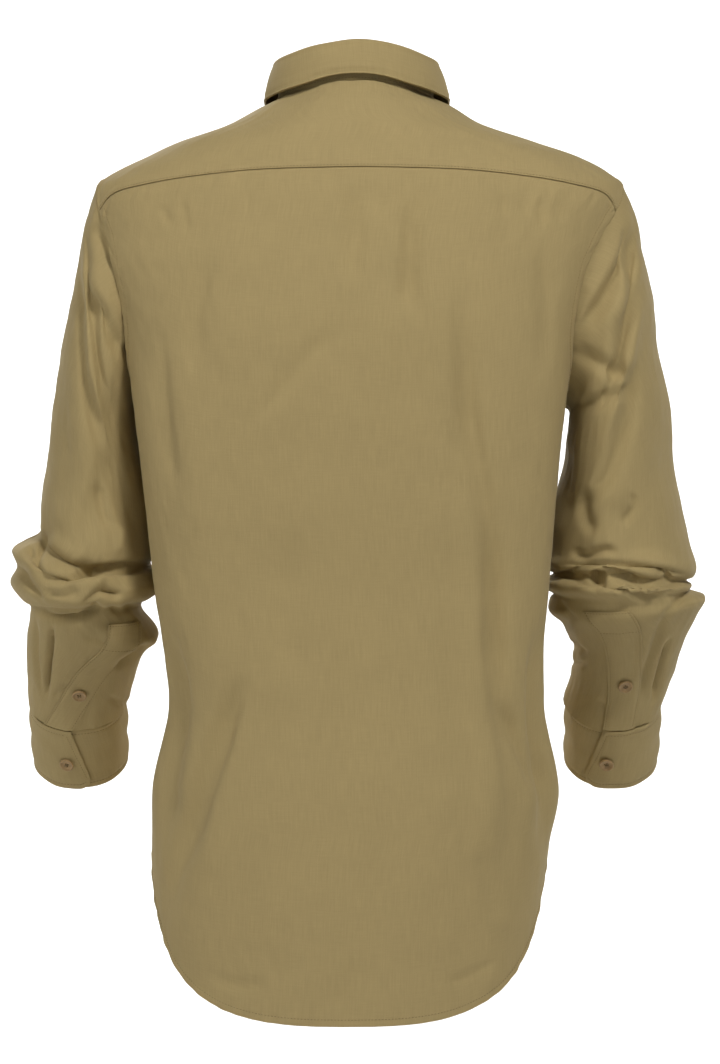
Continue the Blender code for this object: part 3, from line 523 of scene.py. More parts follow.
STEP = 3.0  # between the shells' points
SHELL = 0.75  # thickness of a single layer
TUCK = 4.0  # how far a piece runs on under its neighbour at a seam

Line = namedtuple("Line", "path half_width depth lean")


def crease_height(x, z, lines):
    """How far creases lift or sink points. Each runs along a path of (across, height), as seen from one side."""
    total = np.zeros_like(x)
    for line in lines:
        path = through(line.path, np.linspace(0, len(line.path) - 1, 4 * len(line.path)))
        reach = np.linalg.norm(np.diff(path, axis=0), axis=1)
        start = np.concatenate([[0], np.cumsum(reach)])
        nearest, share, side = np.full(x.shape, 1e9), np.zeros_like(x), np.ones_like(x)
        for i, (a, b) in enumerate(zip(path, path[1:])):
            along_x, along_z = b - a
            t = np.clip(((x - a[0]) * along_x + (z - a[1]) * along_z) / reach[i] ** 2, 0, 1)
            off_x, off_z = x - a[0] - t * along_x, z - a[1] - t * along_z
            distance = np.hypot(off_x, off_z)
            closer = distance < nearest
            nearest = np.where(closer, distance, nearest)
            share = np.where(closer, (start[i] + t * reach[i]) / start[-1], share)
            side = np.where(closer, np.sign(along_x * off_z - along_z * off_x), side)
        width = line.half_width * (1 + line.lean * side)
        total += line.depth * np.exp(-((nearest / width) ** 2)) * swell(share)
    return total


def waves(x, y, size, seed, stretch=1.0):
    """Smooth unevenness of about 1 either way, its bumps about size wide and stretched along y."""
    random = np.random.default_rng(seed)
    total = np.zeros_like(x)
    for _ in range(10):
        turn, pitch = random.uniform(0, 2 * np.pi), 2 * np.pi / size * random.uniform(0.6, 1.5)
        total += np.sin(pitch * (x * np.cos(turn) + y * np.sin(turn) / stretch) + random.uniform(0, 2 * np.pi))
    return total / 3.2


def grid_out(points, hint):
    """Unit normals of a grid of points, on the side that the hint vectors point to."""
    found = np.cross(np.gradient(points, axis=1), np.gradient(points, axis=0))
    found /= np.linalg.norm(found, axis=-1, keepdims=True) + 1e-12
    return found if (found * hint).sum() > 0 else -found


def ring_out(points, side):
    """Normals of a closed tube's points, its rings along the rows."""
    wide = np.concatenate([points[:, -1:], points, points[:, :1]], axis=1)
    found = np.cross(np.gradient(wide, axis=1), np.gradient(wide, axis=0))[:, 1:-1]
    found /= np.linalg.norm(found, axis=-1, keepdims=True) + 1e-12
    hint = points - points.mean(axis=1, keepdims=True)
    return found if (found * hint).sum() > 0 else -found


def lengths(points, axis):
    """Distance of each point from the grid's first row or column, measured along the cloth."""
    steps = np.linalg.norm(np.diff(points, axis=axis), axis=-1)
    first = np.zeros_like(np.take(steps, [0], axis=axis))
    return np.cumsum(np.concatenate([first, steps], axis=axis), axis=axis)


def from_edge(points, edge):
    """Distance of each point from one edge of the grid: "first_row", "last_row", "first_column" or "last_column"."""
    axis = 0 if edge.endswith("row") else 1
    found = lengths(points, axis)
    return found if edge.startswith("first") else np.take(found, [-1], axis=axis) - found


def hemmed(distance, width=5.5, rise=0.45):
    """A turned edge: a double layer up to its stitches, which pull it in."""
    step = rise * (1 - smooth_step((distance - width) / 1.6))
    return step - 0.6 * np.exp(-(((distance - width) / 1.1) ** 2))


def pucker(distance, along_edge, seed, size=9.0, reach=9.0, depth=0.35):
    """Ripples across a stitched edge, which fade away from it."""
    return depth * waves(along_edge, along_edge * 0, size, seed) * np.exp(-((distance / reach) ** 2))


def tucked(points, out, edge, reach=TUCK, drop=0.95):
    """The grid with two rows or columns added that run on under the neighbour at one edge."""
    axis = 0 if edge.endswith("row") else 1
    last = edge.startswith("last")
    rim, before = (np.take(points, [-1], axis), np.take(points, [-2], axis)) if last else (
        np.take(points, [0], axis),
        np.take(points, [1], axis),
    )
    rim_out = np.take(out, [-1 if last else 0], axis)
    away = rim - before
    away /= np.linalg.norm(away, axis=-1, keepdims=True)
    near, far = rim + away * 0.3 - rim_out * 0.45, rim + away * reach - rim_out * drop
    pieces = [points, near, far] if last else [far, near, points]
    outs = [out, rim_out, rim_out] if last else [rim_out, rim_out, out]
    return np.concatenate(pieces, axis), np.concatenate(outs, axis)


def shell(name, points, out, thickness, material, node, loop=False):
    """A closed thin shell from a grid of outer points, as one piece that stands for a CAD node."""
    rows, columns = points.shape[:2]
    vertices = np.concatenate([points.reshape(-1, 3), (points - out * thickness).reshape(-1, 3)]) * MM
    index = np.arange(rows * columns).reshape(rows, columns)
    if loop:
        index = np.concatenate([index, index[:, :1]], axis=1)
    a, b, c, d = index[:-1, :-1], index[:-1, 1:], index[1:, 1:], index[1:, :-1]
    front = np.stack([a, b, c, d], axis=-1).reshape(-1, 4)
    low = rows * columns
    faces = [front, front[:, ::-1] + low]
    rims = [index[0], index[-1]] if loop else [index[0], index[-1], index[:, 0], index[:, -1]]
    for i, rim in enumerate(rims):
        strip = np.stack([rim[1:], rim[:-1], rim[:-1] + low, rim[1:] + low], axis=-1)
        faces.append(strip if i in (0, 3) else strip[:, ::-1])
    faces = np.concatenate(faces)
    u, v = lengths(points, 1), lengths(points, 0)
    u = u + (u[rows // 2, -1] - u[:, -1:]) / 2
    v = v + (v[-1:, columns // 2] - v[-1:, :]) / 2
    flat = np.stack([u, v], axis=-1).reshape(-1, 2) * MM
    return mesh_piece(name, vertices, faces, np.concatenate([flat, flat]), material, node)


def mesh_piece(name, vertices, faces, flat, material, node):
    data = bpy.data.meshes.new(name)
    data.from_pydata(vertices.tolist(), [], faces.tolist())
    layer = data.uv_layers.new(name="flat")
    corners = np.empty(len(data.loops), dtype=np.int32)
    data.loops.foreach_get("vertex_index", corners)
    layer.data.foreach_set("uv", flat[corners].ravel())
    data.materials.append(material)
    data.shade_smooth()
    data.set_sharp_from_angle(angle=np.radians(60))
    made = bpy.data.objects.new(name, data)
    bpy.context.scene.collection.objects.link(made)
    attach(made, "root")
    if node:
        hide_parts(node)
    return made


# Stitches

STITCH = 2.7
STITCH_LENGTH = 1.9
THREAD = 0.23


def beside(points, out, edge, distance):
    """A line on the grid at a distance from one edge: its points and normals."""
    axis = 0 if edge.endswith("row") else 1
    away = from_edge(points, edge)
    if axis == 1:
        points, out, away = points.swapaxes(0, 1), out.swapaxes(0, 1), away.T
    if edge.startswith("last"):
        points, out, away = points[::-1], out[::-1], away[::-1]
    found = [[np.interp(distance, away[:, c], part[:, c, i]) for i in range(3)] for part in (points, out)
             for c in range(points.shape[1])]
    found = np.array(found).reshape(2, -1, 3)
    return found[0], found[1]


def between(line, start, end):
    """A stretch of a line, by distance from its ends."""
    points, out = line
    run = np.concatenate([[0], np.cumsum(np.linalg.norm(np.diff(points, axis=0), axis=1))])
    at = np.arange(start, run[-1] - end, 1.0)
    return tuple(np.stack([np.interp(at, run, part[:, i]) for i in range(3)], -1) for part in (points, out))


def stitches(name, lines, material):
    """Sewn lines as one piece: a short raised stitch after another, along each line of points and normals."""
    sides = 5
    ring = 2 * np.pi * np.arange(sides) / sides
    shape = [(0.0, 0.0, -0.5)]
    for along_it, size in ((-0.34, 0.8), (0.0, 1.0), (0.34, 0.8)):
        shape += [(np.cos(t) * size, np.sin(t) * size, along_it) for t in ring]
    shape = np.array(shape + [(0.0, 0.0, 0.5)])
    faces = [(0, 1 + (i + 1) % sides, 1 + i, 0) for i in range(sides)]
    for r in (0, 1):
        low, high = 1 + r * sides, 1 + (r + 1) * sides
        faces += [(low + i, low + (i + 1) % sides, high + (i + 1) % sides, high + i) for i in range(sides)]
    tip, low = len(shape) - 1, 1 + 2 * sides
    faces += [(low + i, low + (i + 1) % sides, tip, tip) for i in range(sides)]
    starts, ends, ups = [], [], []
    for points, out in lines:
        run = np.concatenate([[0], np.cumsum(np.linalg.norm(np.diff(points, axis=0), axis=1))])
        at = np.arange(0.4, run[-1] - STITCH_LENGTH, STITCH)
        for found, shift in ((starts, 0), (ends, STITCH_LENGTH)):
            found.append(np.stack([np.interp(at + shift, run, points[:, i]) for i in range(3)], -1))
        ups.append(np.stack([np.interp(at, run, out[:, i]) for i in range(3)], -1))
    start, end, up = np.concatenate(starts), np.concatenate(ends), np.concatenate(ups)
    along_it = end - start
    up = up / np.linalg.norm(up, axis=1, keepdims=True)
    across = np.cross(along_it, up)
    across /= np.linalg.norm(across, axis=1, keepdims=True) + 1e-9
    middle = (start + end) / 2 + up * 0.06
    placed = (
        middle[:, None]
        + across[:, None] * shape[None, :, :1] * THREAD
        + up[:, None] * shape[None, :, 1:2] * THREAD * 0.8
        + along_it[:, None] * shape[None, :, 2:]
    )
    corners = (np.array(faces)[None] + np.arange(len(placed))[:, None, None] * len(shape)).reshape(-1, 4)
    data = bpy.data.meshes.new(name)
    listed = [list(dict.fromkeys(face)) for face in corners.tolist()]
    data.from_pydata((placed.reshape(-1, 3) * MM).tolist(), [], listed)
    data.materials.append(material)
    data.shade_smooth()
    made = bpy.data.objects.new(name, data)
    bpy.context.scene.collection.objects.link(made)
    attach(made, "root")
    return made


# Body pieces

# Creases of the back: path as (across, height), half-width, depth and lean
BACK_LINES = [
    Line([(2, -88), (1, -126), (3, -174)], 7, -4.5, 0.2),
    Line([(-42, -96), (-42, -142), (-38, -198)], 7, -4.5, -0.2),
    Line([(-84, -171), (-90, -262), (-106, -358), (-114, -454), (-120, -550)], 9, -6.1, 0.25),
    Line([(-66, -142), (-71, -214), (-79, -302)], 11, 3.2, 0),
    Line([(10, -198), (46, -238), (86, -286)], 8, -2.8, 0.2),
    Line([(90, -470), (106, -534), (122, -582), (142, -654)], 9, -6.1, 0.25),
    Line([(-112, -502), (-130, -538), (-151, -586)], 8, -6.5, -0.2),
    Line([(-90, -622), (-108, -646), (-114, -686)], 9, -3.2, 0),
    Line([(46, -358), (54, -422), (49, -502)], 13, -2.4, 0),
    Line([(-34, -390), (-28, -486), (-36, -574)], 13, -2.4, 0),
    Line([(114, -134), (126, -182), (129, -246)], 9, -2.8, 0.2),
    Line([(-146, -134), (-153, -182), (-150, -246)], 8, -3.2, 0.2),
    Line([(158, -206), (153, -278), (145, -342)], 7, -3.2, 0.2),
    Line([(126, -722), (98, -730), (70, -728)], 4, -2.0, 0),
    Line([(-66, -730), (-90, -724), (-114, -710)], 4, -1.9, 0),
    Line([(22, -746), (6, -730), (4, -706)], 5, -1.6, 0),
    Line([(10, -88), (9, -102), (8, -113)], 3.5, -1.9, 0),
    Line([(-4, -86), (-4, -99), (-3, -107)], 3.5, -1.6, 0),
    Line([(-19, -87), (-20, -102), (-22, -116)], 3.5, -2.0, 0),
    Line([(-33, -88), (-34, -99), (-34, -108)], 3.5, -1.4, 0),
    Line([(-50, -88), (-51, -104), (-53, -120)], 3.5, -2.0, 0),
    Line([(-117, -94), (-118, -107), (-121, -118)], 3.5, -2.0, 0),
    Line([(-131, -96), (-134, -107), (-137, -115)], 3.5, -1.6, 0),
    Line([(-146, -98), (-149, -112), (-152, -124)], 3.5, -2.3, 0),
    Line([(-160, -100), (-163, -110), (-167, -118)], 3.5, -1.6, 0),
    Line([(86, -91), (87, -104), (88, -115)], 3.5, -1.6, 0),
    Line([(142, -100), (138, -113), (137, -128)], 3.5, -2.0, 0),
    Line([(158, -104), (154, -113), (150, -123)], 3.5, -1.6, 0),
]
FRONT_LINES = [
    Line([(46, -102), (57, -206), (62, -326)], 12, -2.5, 0.2),
    Line([(-58, -94), (-71, -198), (-66, -318)], 12, -2.5, -0.2),
    Line([(94, -134), (76, -206), (86, -286)], 10, -2.2, 0.2),
    Line([(-98, -142), (-84, -222), (-94, -294)], 10, -2.4, -0.2),
    Line([(102, -390), (78, -486), (76, -598)], 12, -3.0, 0.2),
    Line([(-114, -374), (-90, -494), (-78, -622)], 12, -3.0, -0.2),
    Line([(46, -454), (38, -550), (41, -646)], 11, -1.8, 0),
    Line([(-50, -438), (-44, -534), (-49, -630)], 11, -1.8, 0),
    Line([(126, -502), (114, -582), (98, -654)], 9, -2.4, 0.2),
    Line([(-130, -510), (-121, -582), (-103, -654)], 9, -2.2, -0.2),
    Line([(22, -278), (26, -318), (25, -374)], 8, -1.2, 0),
    Line([(-28, -182), (-31, -222), (-30, -270)], 8, -1.2, 0),
]


def spaced(start, end, length, fine=8.0):
    """Shares from start to end of an edge of the given length: closer together near its two ends."""
    inner = np.linspace(fine, length - fine, max(int((length - 2 * fine) / STEP), 2))
    edge = np.arange(0, fine, 1.3)
    at = np.concatenate([edge, inner, (length - edge)[::-1]])
    return start + (end - start) * at / length


def dressed(places, front_side=0):
    """Points and normals of a body panel with its creases."""
    base = torso(places[..., 0], places[..., 1])
    hint = base - np.array([0, 0, 0]) - np.stack([base[..., 0] * 0, base[..., 0] * 0, base[..., 2] - 25], -1)
    out = grid_out(base, hint)
    behind = smooth_step((out[..., 1] + 0.25) / 0.4)
    x, z = base[..., 0], base[..., 2]
    rise = crease_height(x, z, BACK_LINES) * behind + crease_height(x, z, FRONT_LINES) * (1 - behind)
    round_it = np.radians(places[..., 0]) * 150
    rise += 0.45 * waves(round_it, z, 70, 3, stretch=2.2) + 0.16 * waves(round_it, z, 22, 5, stretch=1.6)
    return base, out, rise


def make_back(material):
    columns = spaced(-1, 1, 470)
    left_half, right_half = columns[columns > 0], columns[columns <= 0]
    bottom = np.vstack([hem(-right_half, -1, BACK_TAIL), hem(left_half, 1, BACK_TAIL)])
    top = np.vstack([yoke_seam(-right_half, -1), yoke_seam(left_half, 1)])
    seam = spaced(SIDE_SEAM_HEIGHT, ARMHOLE_BOTTOM, 346)
    turns = spaced(180, YOKE_BACK_ANGLE, 205)[1:]
    edges = []
    for side in (-1, 1):
        edge = np.vstack([side_seam(side, seam), pair(*armhole(side, turns))])
        edge[0], edge[-1] = (bottom[0], top[0]) if side < 0 else (bottom[-1], top[-1])
        edges.append(edge)
    v = np.linspace(0, 1, len(edges[0]))
    places = patch(bottom, top, *edges, u=(columns + 1) / 2, v=v)
    base, out, rise = dressed(places)
    hem_line, yoke_line = from_edge(base, "first_row"), from_edge(base, "last_row")
    arms = np.minimum(from_edge(base, "first_column"), from_edge(base, "last_column"))
    above = smooth_step((base[..., 2] - ARMHOLE_BOTTOM - 4) / 6)
    across = lengths(base, 1)
    up = lengths(base, 0)
    rise += hemmed(hem_line) + pucker(hem_line, across, 11)
    rise += pucker(yoke_line, across, 12, size=13, reach=18, depth=0.8)
    rise = rise * smooth_step(yoke_line / 9) - 0.75 * np.exp(-((yoke_line / 1.6) ** 2))
    rise += above * (hemmed(arms, width=8.0, rise=0.7) + pucker(arms, up, 13, reach=14))
    points = base + out * rise[..., None]
    out = grid_out(points, out)
    lines = [beside(points, out, "first_row", 5.5)]
    for edge in ("first_column", "last_column"):
        line = beside(points, out, edge, 8.0)
        keep = line[0][:, 2] > ARMHOLE_BOTTOM + 8
        lines.append((line[0][keep], line[1][keep]))
    grid, grid_normals_ = tucked(points, out, "last_row")
    made = shell("cloth_back", grid, grid_normals_, SHELL, material, "back")
    return made, stitches("thread_back", lines, THREAD_WITH_PAINTED_SEAM_SHADOW)


def make_yoke(material):
    half_back = spaced(0, 1, 235)
    arm = spaced(YOKE_BACK_ANGLE, YOKE_FRONT_ANGLE, 130)[1:]
    neck_turns = np.concatenate(
        [np.interp(half_back, [0, 1], [0, 74]), np.interp(arm, [YOKE_FRONT_ANGLE, YOKE_BACK_ANGLE], [YOKE_NECK_ANGLE, 74])]
    )
    outers, necks, seams = [], [], []
    depth = spaced(0, 1, 165)
    for side in (-1, 1):
        outers.append(np.vstack([yoke_seam(half_back, side), pair(*armhole(side, arm))]))
        neck = pair(*neckline(neck_turns * side))
        neck[:, 0] = signed(neck[:, 0], side)
        necks.append(neck)
        seams.append(front_seam(side, share=depth[::-1]))
    outer = np.vstack([outers[0][::-1], outers[1][1:]])
    neck = np.vstack([necks[0][::-1], necks[1][1:]])
    places = patch(outer, neck, *seams, u=np.linspace(0, 1, len(outer)), v=depth)
    base, out, rise = dressed(places)
    edge = from_edge(base, "first_row")
    seam = np.minimum(from_edge(base, "first_column"), from_edge(base, "last_column"))
    across = lengths(base, 1)
    rise = rise * smooth_step(edge / 9) + hemmed(edge, width=6.0, rise=0.4)
    rise += 0.25 * waves(across, across * 0, 14, 21) * swell(edge / 24)
    rise += hemmed(seam, width=6.0, rise=0.3)
    points = base + out * rise[..., None]
    out = grid_out(points, out)
    lines = [beside(points, out, "first_row", 1.6), beside(points, out, "first_column", 1.6)]
    lines.append(beside(points, out, "last_column", 1.6))
    made = shell("cloth_yoke", points, out, SHELL, material, "yoke")
    return made, stitches("thread_yoke", lines, THREAD_WITH_PAINTED_SEAM_SHADOW)


def front_grid(side):
    """The places of one front: band strips, then the rest, from the hem up."""
    band = np.linspace(-FRONT_OVERLAP, FRONT_OVERLAP, 13)
    rest = spaced(0, 1, 235)
    seam_share = rest[rest > 0.42]
    neck_share = rest[rest <= 0.42] / seam_share[0]
    neck = pair(*neckline(np.interp(neck_share, [0, 1], [180 - OVERLAP_TURN, YOKE_NECK_ANGLE]) * side))
    neck[:, 0] = signed(neck[:, 0], side)
    seam = front_seam(side, share=(seam_share - seam_share[0]) / (1 - seam_share[0]), forward=0.3)
    top = np.vstack([neck, seam])
    heights = spaced(SIDE_SEAM_HEIGHT, ARMHOLE_BOTTOM, 346)
    turns = spaced(180, 360 + YOKE_FRONT_ANGLE, 205)[1:]
    edge = np.vstack([side_seam(side, heights), pair(*armhole(side, turns))])
    rows = len(edge)
    share = np.linspace(0, 1, rows)
    tops = neckline((180 - np.degrees(np.arcsin(band / NECK_HALF_WIDTH))) * side)[1]
    strips = []
    for across, height in zip(band, tops):
        z = FRONT_TAIL + (height - FRONT_TAIL) * share
        strips.append(pair(front_angle(side, across, z), z))
    top[0] = strips[-1][-1]
    bottom = hem(rest, side, FRONT_TAIL)
    start = (strips[-1][0, 0] - bottom[-1, 0]) / (bottom[0, 0] - bottom[-1, 0])
    bottom = hem(1 - start + start * rest, side, FRONT_TAIL)
    bottom[0], bottom[-1] = strips[-1][0], edge[0]
    edge[-1] = top[-1]
    body = patch(bottom, top, strips[-1], edge, u=rest, v=share)
    return np.concatenate([np.stack(strips[:-1], axis=1), body], axis=1), len(band)


def make_front(side, name, material):
    places, band = front_grid(side)
    base, out, rise = dressed(places)
    x = base[..., 0]
    hem_line = from_edge(base, "first_row")
    arm, across, up = from_edge(base, "last_column"), lengths(base, 1), lengths(base, 0)
    above = smooth_step((base[..., 2] - ARMHOLE_BOTTOM - 4) / 6)
    rise += hemmed(hem_line) + pucker(hem_line, across, 31)
    rise += above * (hemmed(arm, width=8.0, rise=0.7) + pucker(arm, up, 32, reach=14))
    if side < 0:
        rise -= (CLOTH + LAY_GAP + 0.2) * smooth_step((x + 55) / 35)
    points = base + out * rise[..., None]
    out = grid_out(points, out)
    line = beside(points, out, "last_column", 8.0)
    keep = line[0][:, 2] > ARMHOLE_BOTTOM + 8
    lines = [beside(points, out, "first_row", 5.5), (line[0][keep], line[1][keep])]
    grid, grid_out_ = tucked(points, out, "last_column", reach=3.0)
    made = shell(f"cloth_{name}", grid, grid_out_, SHELL, material, name)
    return made, stitches(f"thread_{name}", lines, THREAD_WITH_PAINTED_SEAM_SHADOW)


def make_placket(material):
    places, band = front_grid(1)
    places = places[:, :band]
    base, out, rise = dressed(places)
    rise += CLOTH + LAY_GAP + 0.1
    edge = np.minimum(from_edge(base, "first_column"), from_edge(base, "last_column"))
    rise += pucker(edge, lengths(base, 0), 41, size=10, reach=8, depth=0.25)
    rise -= 0.3 * np.exp(-(((edge - 6.0) / 1.2) ** 2))
    points = base + out * rise[..., None]
    out = grid_out(points, out)
    points, out = points[2:-1], out[2:-1]
    lines = [beside(points, out, edge, 6.0) for edge in ("first_column", "last_column")]
    lines.append(beside(points, out, "first_row", 5.5))
    made = shell("cloth_front_placket", points, out, 1.0, material, "front_placket")
    return made, stitches("thread_front_placket", lines, THREAD_WITH_PAINTED_SEAM_SHADOW)


# Sleeves

# Creases of the sleeves, across counted from the body's middle line outwards
LEFT_LINES = [
    Line([(215, -114), (206, -133), (193, -155)], 5, -5.0, 0.3),
    Line([(218, -168), (203, -196), (185, -229)], 7, -6.0, 0.3),
    Line([(223, -147), (210, -170), (195, -193)], 8, 2.6, 0),
    Line([(200, -235), (195, -317), (190, -374)], 13, -6.7, 0.2),
    Line([(212, -325), (207, -354), (195, -365)], 4.5, -3.8, 0),
    Line([(192, -361), (194, -374), (196, -387)], 4, 2.6, 0),
    Line([(242, -276), (239, -317), (242, -358)], 12, -2.4, 0),
    Line([(265, -390), (256, -403), (242, -406), (222, -401), (193, -396), (167, -393)], 3.2, -8.3, 0),
    Line([(281, -394), (272, -407), (264, -416), (257, -428)], 3.0, -4.6, 0),
    Line([(257, -416), (241, -421), (223, -414)], 6, -4.8, 0),
    Line([(211, -409), (202, -416), (190, -421)], 4.5, -9.7, 0),
    Line([(224, -429), (216, -421), (208, -412)], 2.6, -5.3, 0),
    Line([(265, -430), (250, -438), (236, -439), (219, -434), (205, -421)], 3.2, -8.3, 0),
    Line([(242, -400), (218, -408), (195, -406)], 5, 2.6, 0),
    Line([(206, -482), (183, -470), (168, -459)], 3.4, -6.0, 0),
    Line([(250, -438), (255, -464), (261, -500), (264, -515)], 2.4, -6.7, 0),
    Line([(267, -433), (268, -472), (265, -513)], 2.2, -3.6, 0),
    Line([(257, -508), (247, -500), (237, -496)], 3.0, -1.8, 0),
    Line([(211, -505), (200, -511), (188, -514)], 3.0, -2.2, 0),
    Line([(226, -456), (214, -458), (200, -464)], 3.0, -1.7, 0),
    Line([(273, -378), (267, -387), (262, -395)], 3.0, -4.6, 0),
    Line([(255, -369), (241, -383), (221, -395)], 6.0, 4.0, 0),
    Line([(259, -364), (260, -381), (263, -392), (254, -404)], 2.8, -5.0, 0),
    Line([(275, -390), (259, -409), (234, -415)], 4.0, 1.6, 0),
    Line([(200, -423), (187, -439), (177, -452)], 4.0, 1.8, 0),
    Line([(205, -426), (195, -433), (185, -426)], 2.6, -2.4, 0),
    Line([(267, -456), (269, -480), (267, -505)], 3.0, 1.4, 0),
]
RIGHT_LINES = [
    Line([(222, -110), (218, -142), (203, -169), (187, -194), (176, -208)], 6, -8.3, 0.3),
    Line([(233, -129), (227, -154), (213, -182), (196, -209)], 7, 3.4, 0),
    Line([(175, -217), (203, -235), (231, -243)], 6.5, -5.0, 0.2),
    Line([(233, -247), (200, -258), (175, -268)], 6, -4.8, 0.2),
    Line([(192, -330), (184, -345), (189, -361), (198, -372)], 6, -5.0, 0.2),
    Line([(221, -333), (227, -346), (216, -364)], 4, -3.0, 0),
    Line([(175, -379), (185, -387), (203, -382), (216, -386)], 3.6, -5.0, 0),
    Line([(239, -260), (249, -301), (251, -341)], 10, -2.4, 0),
    Line([(166, -284), (171, -325), (169, -366)], 8, -4.6, 0),
    Line([(159, -395), (197, -393), (231, -394), (254, -399), (280, -406)], 2.5, -6.7, 0),
    Line([(160, -407), (178, -399), (190, -396), (213, -401), (231, -407), (247, -412), (272, -409)], 2.5, -6.7, 0),
    Line([(184, -403), (198, -407), (216, -416), (235, -421), (254, -416), (272, -411)], 2.5, -6.7, 0),
    Line([(190, -403), (197, -405), (205, -407)], 3.6, -8.3, 0),
    Line([(218, -411), (229, -414), (242, -416)], 4.2, -9.0, 0),
    Line([(247, -397), (252, -401), (259, -407)], 2.8, -5.8, 0),
    Line([(206, -400), (223, -404), (239, -410)], 3, 2.4, 0),
    Line([(254, -428), (251, -456), (241, -488), (238, -516)], 5, -7.4, 0),
    Line([(262, -452), (254, -488), (249, -515)], 2.2, -7.4, 0),
    Line([(177, -459), (184, -465), (192, -472)], 3.0, -4.6, 0),
    Line([(174, -475), (184, -478), (194, -478)], 2.4, -2.4, 0),
    Line([(224, -439), (231, -472), (226, -505)], 6, -2.6, 0),
    Line([(202, -505), (208, -518), (203, -526)], 3.0, -1.4, 0),
    Line([(162, -423), (172, -438), (177, -451)], 4, -2.6, 0),
    Line([(166, -400), (190, -410), (198, -420)], 2.6, -3.0, 0),
    Line([(272, -416), (264, -426), (251, -438)], 3.4, -3.4, 0),
    Line([(166, -420), (171, -431), (182, -444)], 3.0, -2.6, 0),
    Line([(202, -390), (231, -400), (260, -410)], 2.6, 1.5, 0),
    Line([(244, -456), (238, -488), (231, -509)], 4.0, 1.6, 0),
]


def last_row(side):
    return len(LEFT_SLEEVE if side > 0 else RIGHT_SLEEVE) - 1


def sleeve_grid(side):
    last = last_row(side)
    fine = np.linspace(0, last, 400)
    turns = np.arange(0, 360, 2.0)
    coarse = np.stack([sleeve(side, fine, np.full_like(fine, t)) for t in (0, 90, 180, 270)])
    step = np.linalg.norm(np.diff(coarse, axis=1), axis=-1).max(axis=0)
    run = np.concatenate([[0], np.cumsum(step)])
    at = np.interp(np.linspace(0, run[-1], int(run[-1] / 2.3)), run, fine)
    return at[:, None], turns[None, :]


def make_sleeve(side, name, material):
    at, turn = sleeve_grid(side)
    base = sleeve(side, at, turn)
    out = ring_out(base, side)
    behind = smooth_step((out[..., 1] + 0.35) / 0.5)
    x, z = np.abs(base[..., 0]), base[..., 2]
    lines = LEFT_LINES if side > 0 else RIGHT_LINES
    rise = crease_height(x, z, lines) * behind
    around = np.radians(np.broadcast_to(turn, x.shape)) * 70
    seed = 50 if side > 0 else 60
    down = lengths(base, 0)
    rise += 0.5 * waves(around, down, 60, seed, stretch=1.8) + 0.2 * waves(around, down, 20, seed + 1, stretch=1.4)
    cap = down
    rise += pucker(cap, np.broadcast_to(around, x.shape), seed + 2, size=14, reach=18, depth=0.4)
    points = base + out * rise[..., None]
    out = ring_out(points, side)
    root = points[:1] - out[:1] * 1.1
    inward = points[:1] - points[1:2]
    inward /= np.linalg.norm(inward, axis=-1, keepdims=True)
    grid = np.concatenate([root + inward * TUCK, points])
    grid_normals_ = np.concatenate([out[:1], out])
    made = shell(f"cloth_{name}", grid, grid_normals_, SHELL, material, name, loop=True)
    return made, (at, turn, points, out)


def on_sleeve(made, side, at, turn):
    """Points and normals of the dressed sleeve at given rows and angles."""
    rows, turns, points, out = made
    found = []
    for part in (points, out):
        wide = np.concatenate([part, part[:, :1]], axis=1)
        r = np.interp(at, rows[:, 0], np.arange(len(rows)))
        c = (np.asarray(turn) % 360) / 2.0
        r0, c0 = np.clip(np.floor(r).astype(int), 0, len(rows) - 2), np.floor(c).astype(int)
        fr, fc = (r - r0)[..., None], (c - c0)[..., None]
        found.append(
            wide[r0, c0] * (1 - fr) * (1 - fc)
            + wide[r0 + 1, c0] * fr * (1 - fc)
            + wide[r0, c0 + 1] * (1 - fr) * fc
            + wide[r0 + 1, c0 + 1] * fr * fc
        )
    return found


def make_sleeve_placket(side, name, sleeve_made, material):
    at = (last_row(side) - 0.02 - (SLEEVE_PLACKET_ROWS + (0.1 if side > 0 else 0.9)) * spaced(1, 0, 88))[:, None]
    at, turn = np.broadcast_arrays(at, placket_turn(side, at, spaced(0, 1, 27, fine=6)[None, :]))
    base, out = on_sleeve(sleeve_made, side, at, turn)
    rim = np.minimum(from_edge(base, "first_column"), from_edge(base, "last_column"))
    base = base + out * (1.7 - 0.5 * np.exp(-(((rim - 1.8) / 0.9) ** 2)))[..., None]
    hint = out
    out = grid_out(base, hint)
    lines = [beside(base, out, edge, 1.8) for edge in ("first_column", "last_column", "first_row")]
    lines.append(beside(base, out, "first_row", 26.0))
    made = shell(f"cloth_{name}_placket", base, out, 1.0, material, f"{name}_placket")
    return made, stitches(f"thread_{name}_placket", lines, THREAD_WITH_PAINTED_SEAM_SHADOW)


def make_cuff(side, name, material):
    deep, share = spaced(0, 1, CUFF_HEIGHT)[:, None], spaced(0, 1, 260)[None, :]
    down, turn = cuff_places(side, deep, share)
    to_end = (turn.max(axis=1, keepdims=True) - turn) * np.radians(1) * 41
    corner = 11.0
    cut = corner - np.sqrt(np.clip(corner**2 - np.clip(corner - to_end, 0, corner) ** 2, 0, None))
    down = down - cut * deep
    base = cuff(side, down, turn)
    hint = base - cuff(side, down, turn, lift=-5.0)
    out = grid_out(base, hint)
    rim = np.minimum.reduce([from_edge(base, e) for e in ("first_row", "last_row", "first_column", "last_column")])
    rise = -0.5 * np.exp(-(((rim - 5.0) / 1.1) ** 2)) + 0.5 * waves(lengths(base, 1), lengths(base, 0), 34, 71)
    rise -= 0.5 * np.exp(-((rim / 0.9) ** 2))
    points = base + out * rise[..., None]
    out = grid_out(points, hint)
    lines = [between(beside(points, out, e, 5.0), 5, 5) for e in ("first_row", "last_row", "last_column")]
    made = shell(f"cloth_{name}", points, out, 2.0, material, name)
    return made, stitches(f"thread_{name}", lines, THREAD_WITH_PAINTED_SEAM_SHADOW)


# Collar

def fold_rows(count):
    return through(FOLD, np.linspace(0, len(FOLD) - 1, count))


